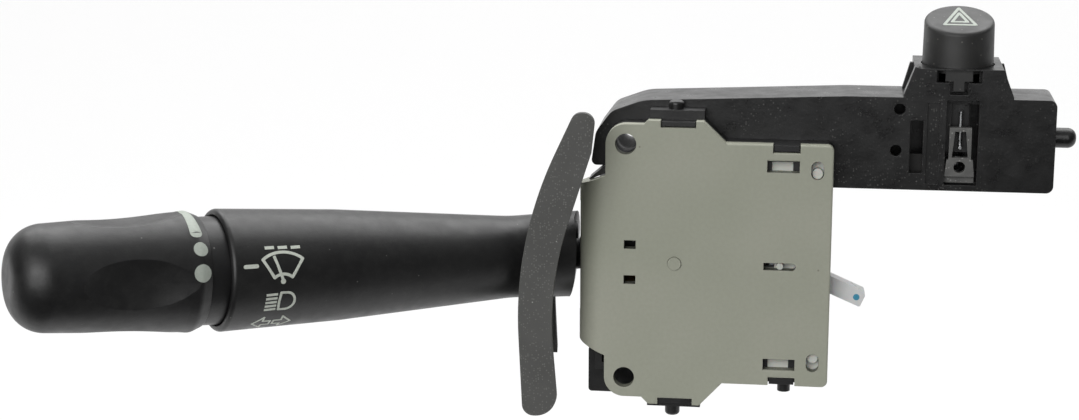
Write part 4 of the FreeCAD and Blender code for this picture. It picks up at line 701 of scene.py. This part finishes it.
def print_marks():
    """The symbols of the stalk, the knob and the button, and the pawl's dot."""
    pale = ink_finish("pale_ink", shade(206, 211, 201), shade(176, 181, 170))
    dull = ink_finish("dull_ink", shade(170, 177, 168), shade(152, 160, 150))
    blue = ink_finish("blue_ink", shade(52, 138, 168), shade(88, 158, 182))
    stalk_marks = {
        "mark_index": pill(-10.2 * MM, 4.3 * MM, -7.0 * MM, 4.4 * MM, INDEX_STROKE),
        "mark_wiper": wiper_shapes(),
        "mark_high_beam": beam_shapes(),
        "mark_turn_arrows": arrow_shapes(),
    }
    for name, shapes in stalk_marks.items():
        printed(name, shapes, stalk_chart, "stalk_tube", "lever", pale)
    knob_marks = {
        "mark_knob_wide_dot": [disc(-21.44 * MM, 3.2 * MM, 2.35 * MM, 40)],
        "mark_knob_small_dot": [disc(-21.48 * MM, 9.6 * MM, 1.95 * MM, 36)],
        "mark_knob_crescent": crescent_shapes(),
    }
    for name, shapes in knob_marks.items():
        printed(name, shapes, stalk_chart, "knob_shell", "wiper", dull)
    warning = triangle(4.3 * MM, -4.0 * MM, 6.6 * MM) + triangle(2.1 * MM, -2.2 * MM, 3.4 * MM)
    printed("mark_hazard", warning, top_chart, "hazard_cap", "hazard", dull)
    dot = [disc(64.6 * MM, -9.75 * MM, 0.9 * MM)]
    printed("mark_pawl_dot", dot, front_chart, "cancel_pawl", "pawl", blue)


def window_shade_sheet(name, low, high):
    """Black sheets at both sides and along the top of a window, just before the white frame: painted shade where
    the frame lies in shadow.
    """
    aim = Vector(((WINDOW_LEFT + WINDOW_RIGHT) / 2, -REACH, (low + high) / 2))
    seat = surface("contact_frame").ray_cast(aim, REARWARD)[0].y
    left = WINDOW_LEFT + SHADE_SHEET_LEFT
    right = WINDOW_RIGHT - SHADE_SHEET_RIGHT
    top = high - SHADE_SHEET_TOP
    outline = [(WINDOW_LEFT, low), (left, low), (left, top), (right, top), (right, low),
               (WINDOW_RIGHT, low), (WINDOW_RIGHT, high), (WINDOW_LEFT, high)]
    shell = bmesh.new()
    front, rear = [[shell.verts.new((x, y, z)) for x, z in outline] for y in (seat - SHADE_SHEET_THICK, seat)]
    shell.faces.new(front)
    shell.faces.new(rear[::-1])
    for i in range(len(outline)):
        shell.faces.new([front[i], front[i - 1], rear[i - 1], rear[i]])
    piece(name, shell, FINISHES["black_moulding"], "housing")


def squeeze_springs():
    """Coil springs as copies of the CAD springs, each riding on the body that holds its spring, with the CAD
    springs hidden.
    """
    bodies = frame["record"]["behaviour"]["bodies"]
    for node, mover in (("hazard_spring", "hazard_push"), ("washer_spring", "washer_push"),
                        ("detent_spring", "detent_slide")):
        coil = bpy.data.objects.new(node.replace("spring", "coil"), frame["nodes"][node].data.copy())
        bpy.context.scene.collection.objects.link(coil)
        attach(coil, [body for body, nodes in bodies.items() if node in nodes][0])
        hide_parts(node)
        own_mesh(coil)


def view_share(look, to_camera, to_gloss):
    """How much of its white a background shows: to the camera, and to gloss and glass."""
    path = look.add("ShaderNodeLightPath", {}).outputs
    camera = look.maths("MULTIPLY", path["Is Camera Ray"], to_camera)
    gloss = look.maths("MULTIPLY", path["Is Glossy Ray"], to_gloss)
    glass = look.maths("MULTIPLY", path["Is Transmission Ray"], to_gloss)
    return look.maths("MAXIMUM", look.maths("MAXIMUM", camera, gloss), glass)


def white_to_view(name, colour, shadowed):
    """Floor and backdrop: lit and shadowed as a pale surface, but white to the eye and to gloss."""
    made = bpy.data.materials.new(name)
    look = Shading(made)
    look.tree.nodes.clear()
    shown = view_share(look, 1 - shadowed, 1 - shadowed)
    matt = look.add("ShaderNodeBsdfDiffuse", {"Color": colour}).outputs[0]
    glow = look.add("ShaderNodeEmission", {"Strength": 1}).outputs[0]
    mixed = look.add("ShaderNodeMixShader", {0: shown, 1: matt, 2: glow}).outputs[0]
    look.add("ShaderNodeOutputMaterial", {"Surface": mixed})
    return made


def sweep_profile():
    """Side view of the floor, the bend and the backdrop, as places in depth and height."""
    low, high = cad_box
    floor_drop = 110 * MM
    front_gap = 0.01
    rear_gap = 1.2
    bend = 0.5
    top = 2.2
    steps = 16
    level = low.z - floor_drop
    rear = high.y + rear_gap
    profile = [(low.y - front_gap, level), (rear - bend, level)]
    for i in range(1, steps + 1):
        angle = math.pi / 2 * i / steps
        profile.append((rear - bend + bend * math.sin(angle), level + bend - bend * math.cos(angle)))
    profile.append((rear, top))
    return profile


def build_stage():
    """A pale floor below the part that sweeps up into a backdrop behind it."""
    low, high = cad_box
    floor_half = 2.4
    middle = (low.x + high.x) / 2
    profile = sweep_profile()
    mesh = bmesh.new()
    sides = [[mesh.verts.new((middle + way * floor_half, y, z)) for y, z in profile] for way in (-1, 1)]
    for i in range(len(profile) - 1):
        mesh.faces.new([sides[0][i], sides[1][i], sides[1][i + 1], sides[0][i + 1]])
    data = bpy.data.meshes.new("sweep")
    mesh.to_mesh(data)
    mesh.free()
    for face in data.polygons:
        face.use_smooth = True
    data.materials.append(white_to_view("pale_sweep", SWEEP_COLOUR, SWEEP_SHADOW))
    sweep = bpy.data.objects.new("sweep", data)
    bpy.context.scene.collection.objects.link(sweep)


def softbox(name, place, aim, wide, tall, watts):
    """A rectangular area light, turned to its aim."""
    lamp = bpy.data.lights.new(name, "AREA")
    lamp.shape = "RECTANGLE"
    lamp.size = wide
    lamp.size_y = tall
    lamp.energy = watts
    made = bpy.data.objects.new(name, lamp)
    made.location = place
    made.rotation_mode = "QUATERNION"
    made.rotation_quaternion = (Vector(aim) - Vector(place)).to_track_quat("-Z", "Y")
    bpy.context.scene.collection.objects.link(made)


def build_room():
    """A room that brightens towards its top, white to the camera and dim to gloss."""
    world = bpy.data.worlds.new("room")
    bpy.context.scene.world = world
    look = Shading(world)
    look.tree.nodes.clear()
    place = look.add("ShaderNodeTexCoord", {}).outputs["Generated"]
    height = look.add("ShaderNodeSeparateXYZ", {0: place}).outputs["Z"]
    strength = look.remap(height, ROOM_DIM_BELOW, 1.0, ROOM_DIM, ROOM_BRIGHT, interpolation_type="SMOOTHSTEP")
    room = look.add("ShaderNodeBackground", {"Color": WHITE, "Strength": strength}).outputs[0]
    bright = look.add("ShaderNodeBackground", {"Color": WHITE}).outputs[0]
    shown = view_share(look, 1, ROOM_TO_GLOSS)
    mixed = look.add("ShaderNodeMixShader", {0: shown, 1: room, 2: bright}).outputs[0]
    look.add("ShaderNodeOutputWorld", {"Surface": mixed})


def build_light():
    """A wide box above and behind the part, a box before it to the left, and the room."""
    low, high = cad_box
    middle = (low + high) / 2
    for name, (offset, wide, tall, watts) in LAMPS.items():
        softbox(name, middle + Vector(offset), middle, wide, tall, watts)
    build_room()


def build_camera():
    """The photograph's camera: its place, its lens and its way of looking down."""
    lens = bpy.data.cameras.new("camera")
    lens.sensor_width = SENSOR
    lens.lens = FOCAL_PIXELS / PHOTO_WIDTH * SENSOR
    lens.clip_start = CLIP_NEAR
    lens.clip_end = CLIP_FAR
    made = bpy.data.objects.new("camera", lens)
    azimuth = math.radians(CAMERA_AZIMUTH)
    elevation = math.radians(CAMERA_ELEVATION)
    back = Vector((math.sin(azimuth) * math.cos(elevation),
                   -math.cos(azimuth) * math.cos(elevation), math.sin(elevation)))
    made.location = CAMERA_PLACE
    made.rotation_mode = "QUATERNION"
    made.rotation_quaternion = (-back).to_track_quat("-Z", "Y")
    bpy.context.scene.collection.objects.link(made)
    bpy.context.scene.camera = made


dress_nodes()
print_marks()
# painted shade: black sheets where the windows show the frame in shadow
window_shade_sheet("upper_window_shade", WINDOW_LOW, WINDOW_HIGH)
window_shade_sheet("lower_window_shade", -WINDOW_HIGH, -WINDOW_LOW)
squeeze_springs()
build_stage()
build_light()
build_camera()
bpy.context.scene.view_settings.view_transform = "Standard"
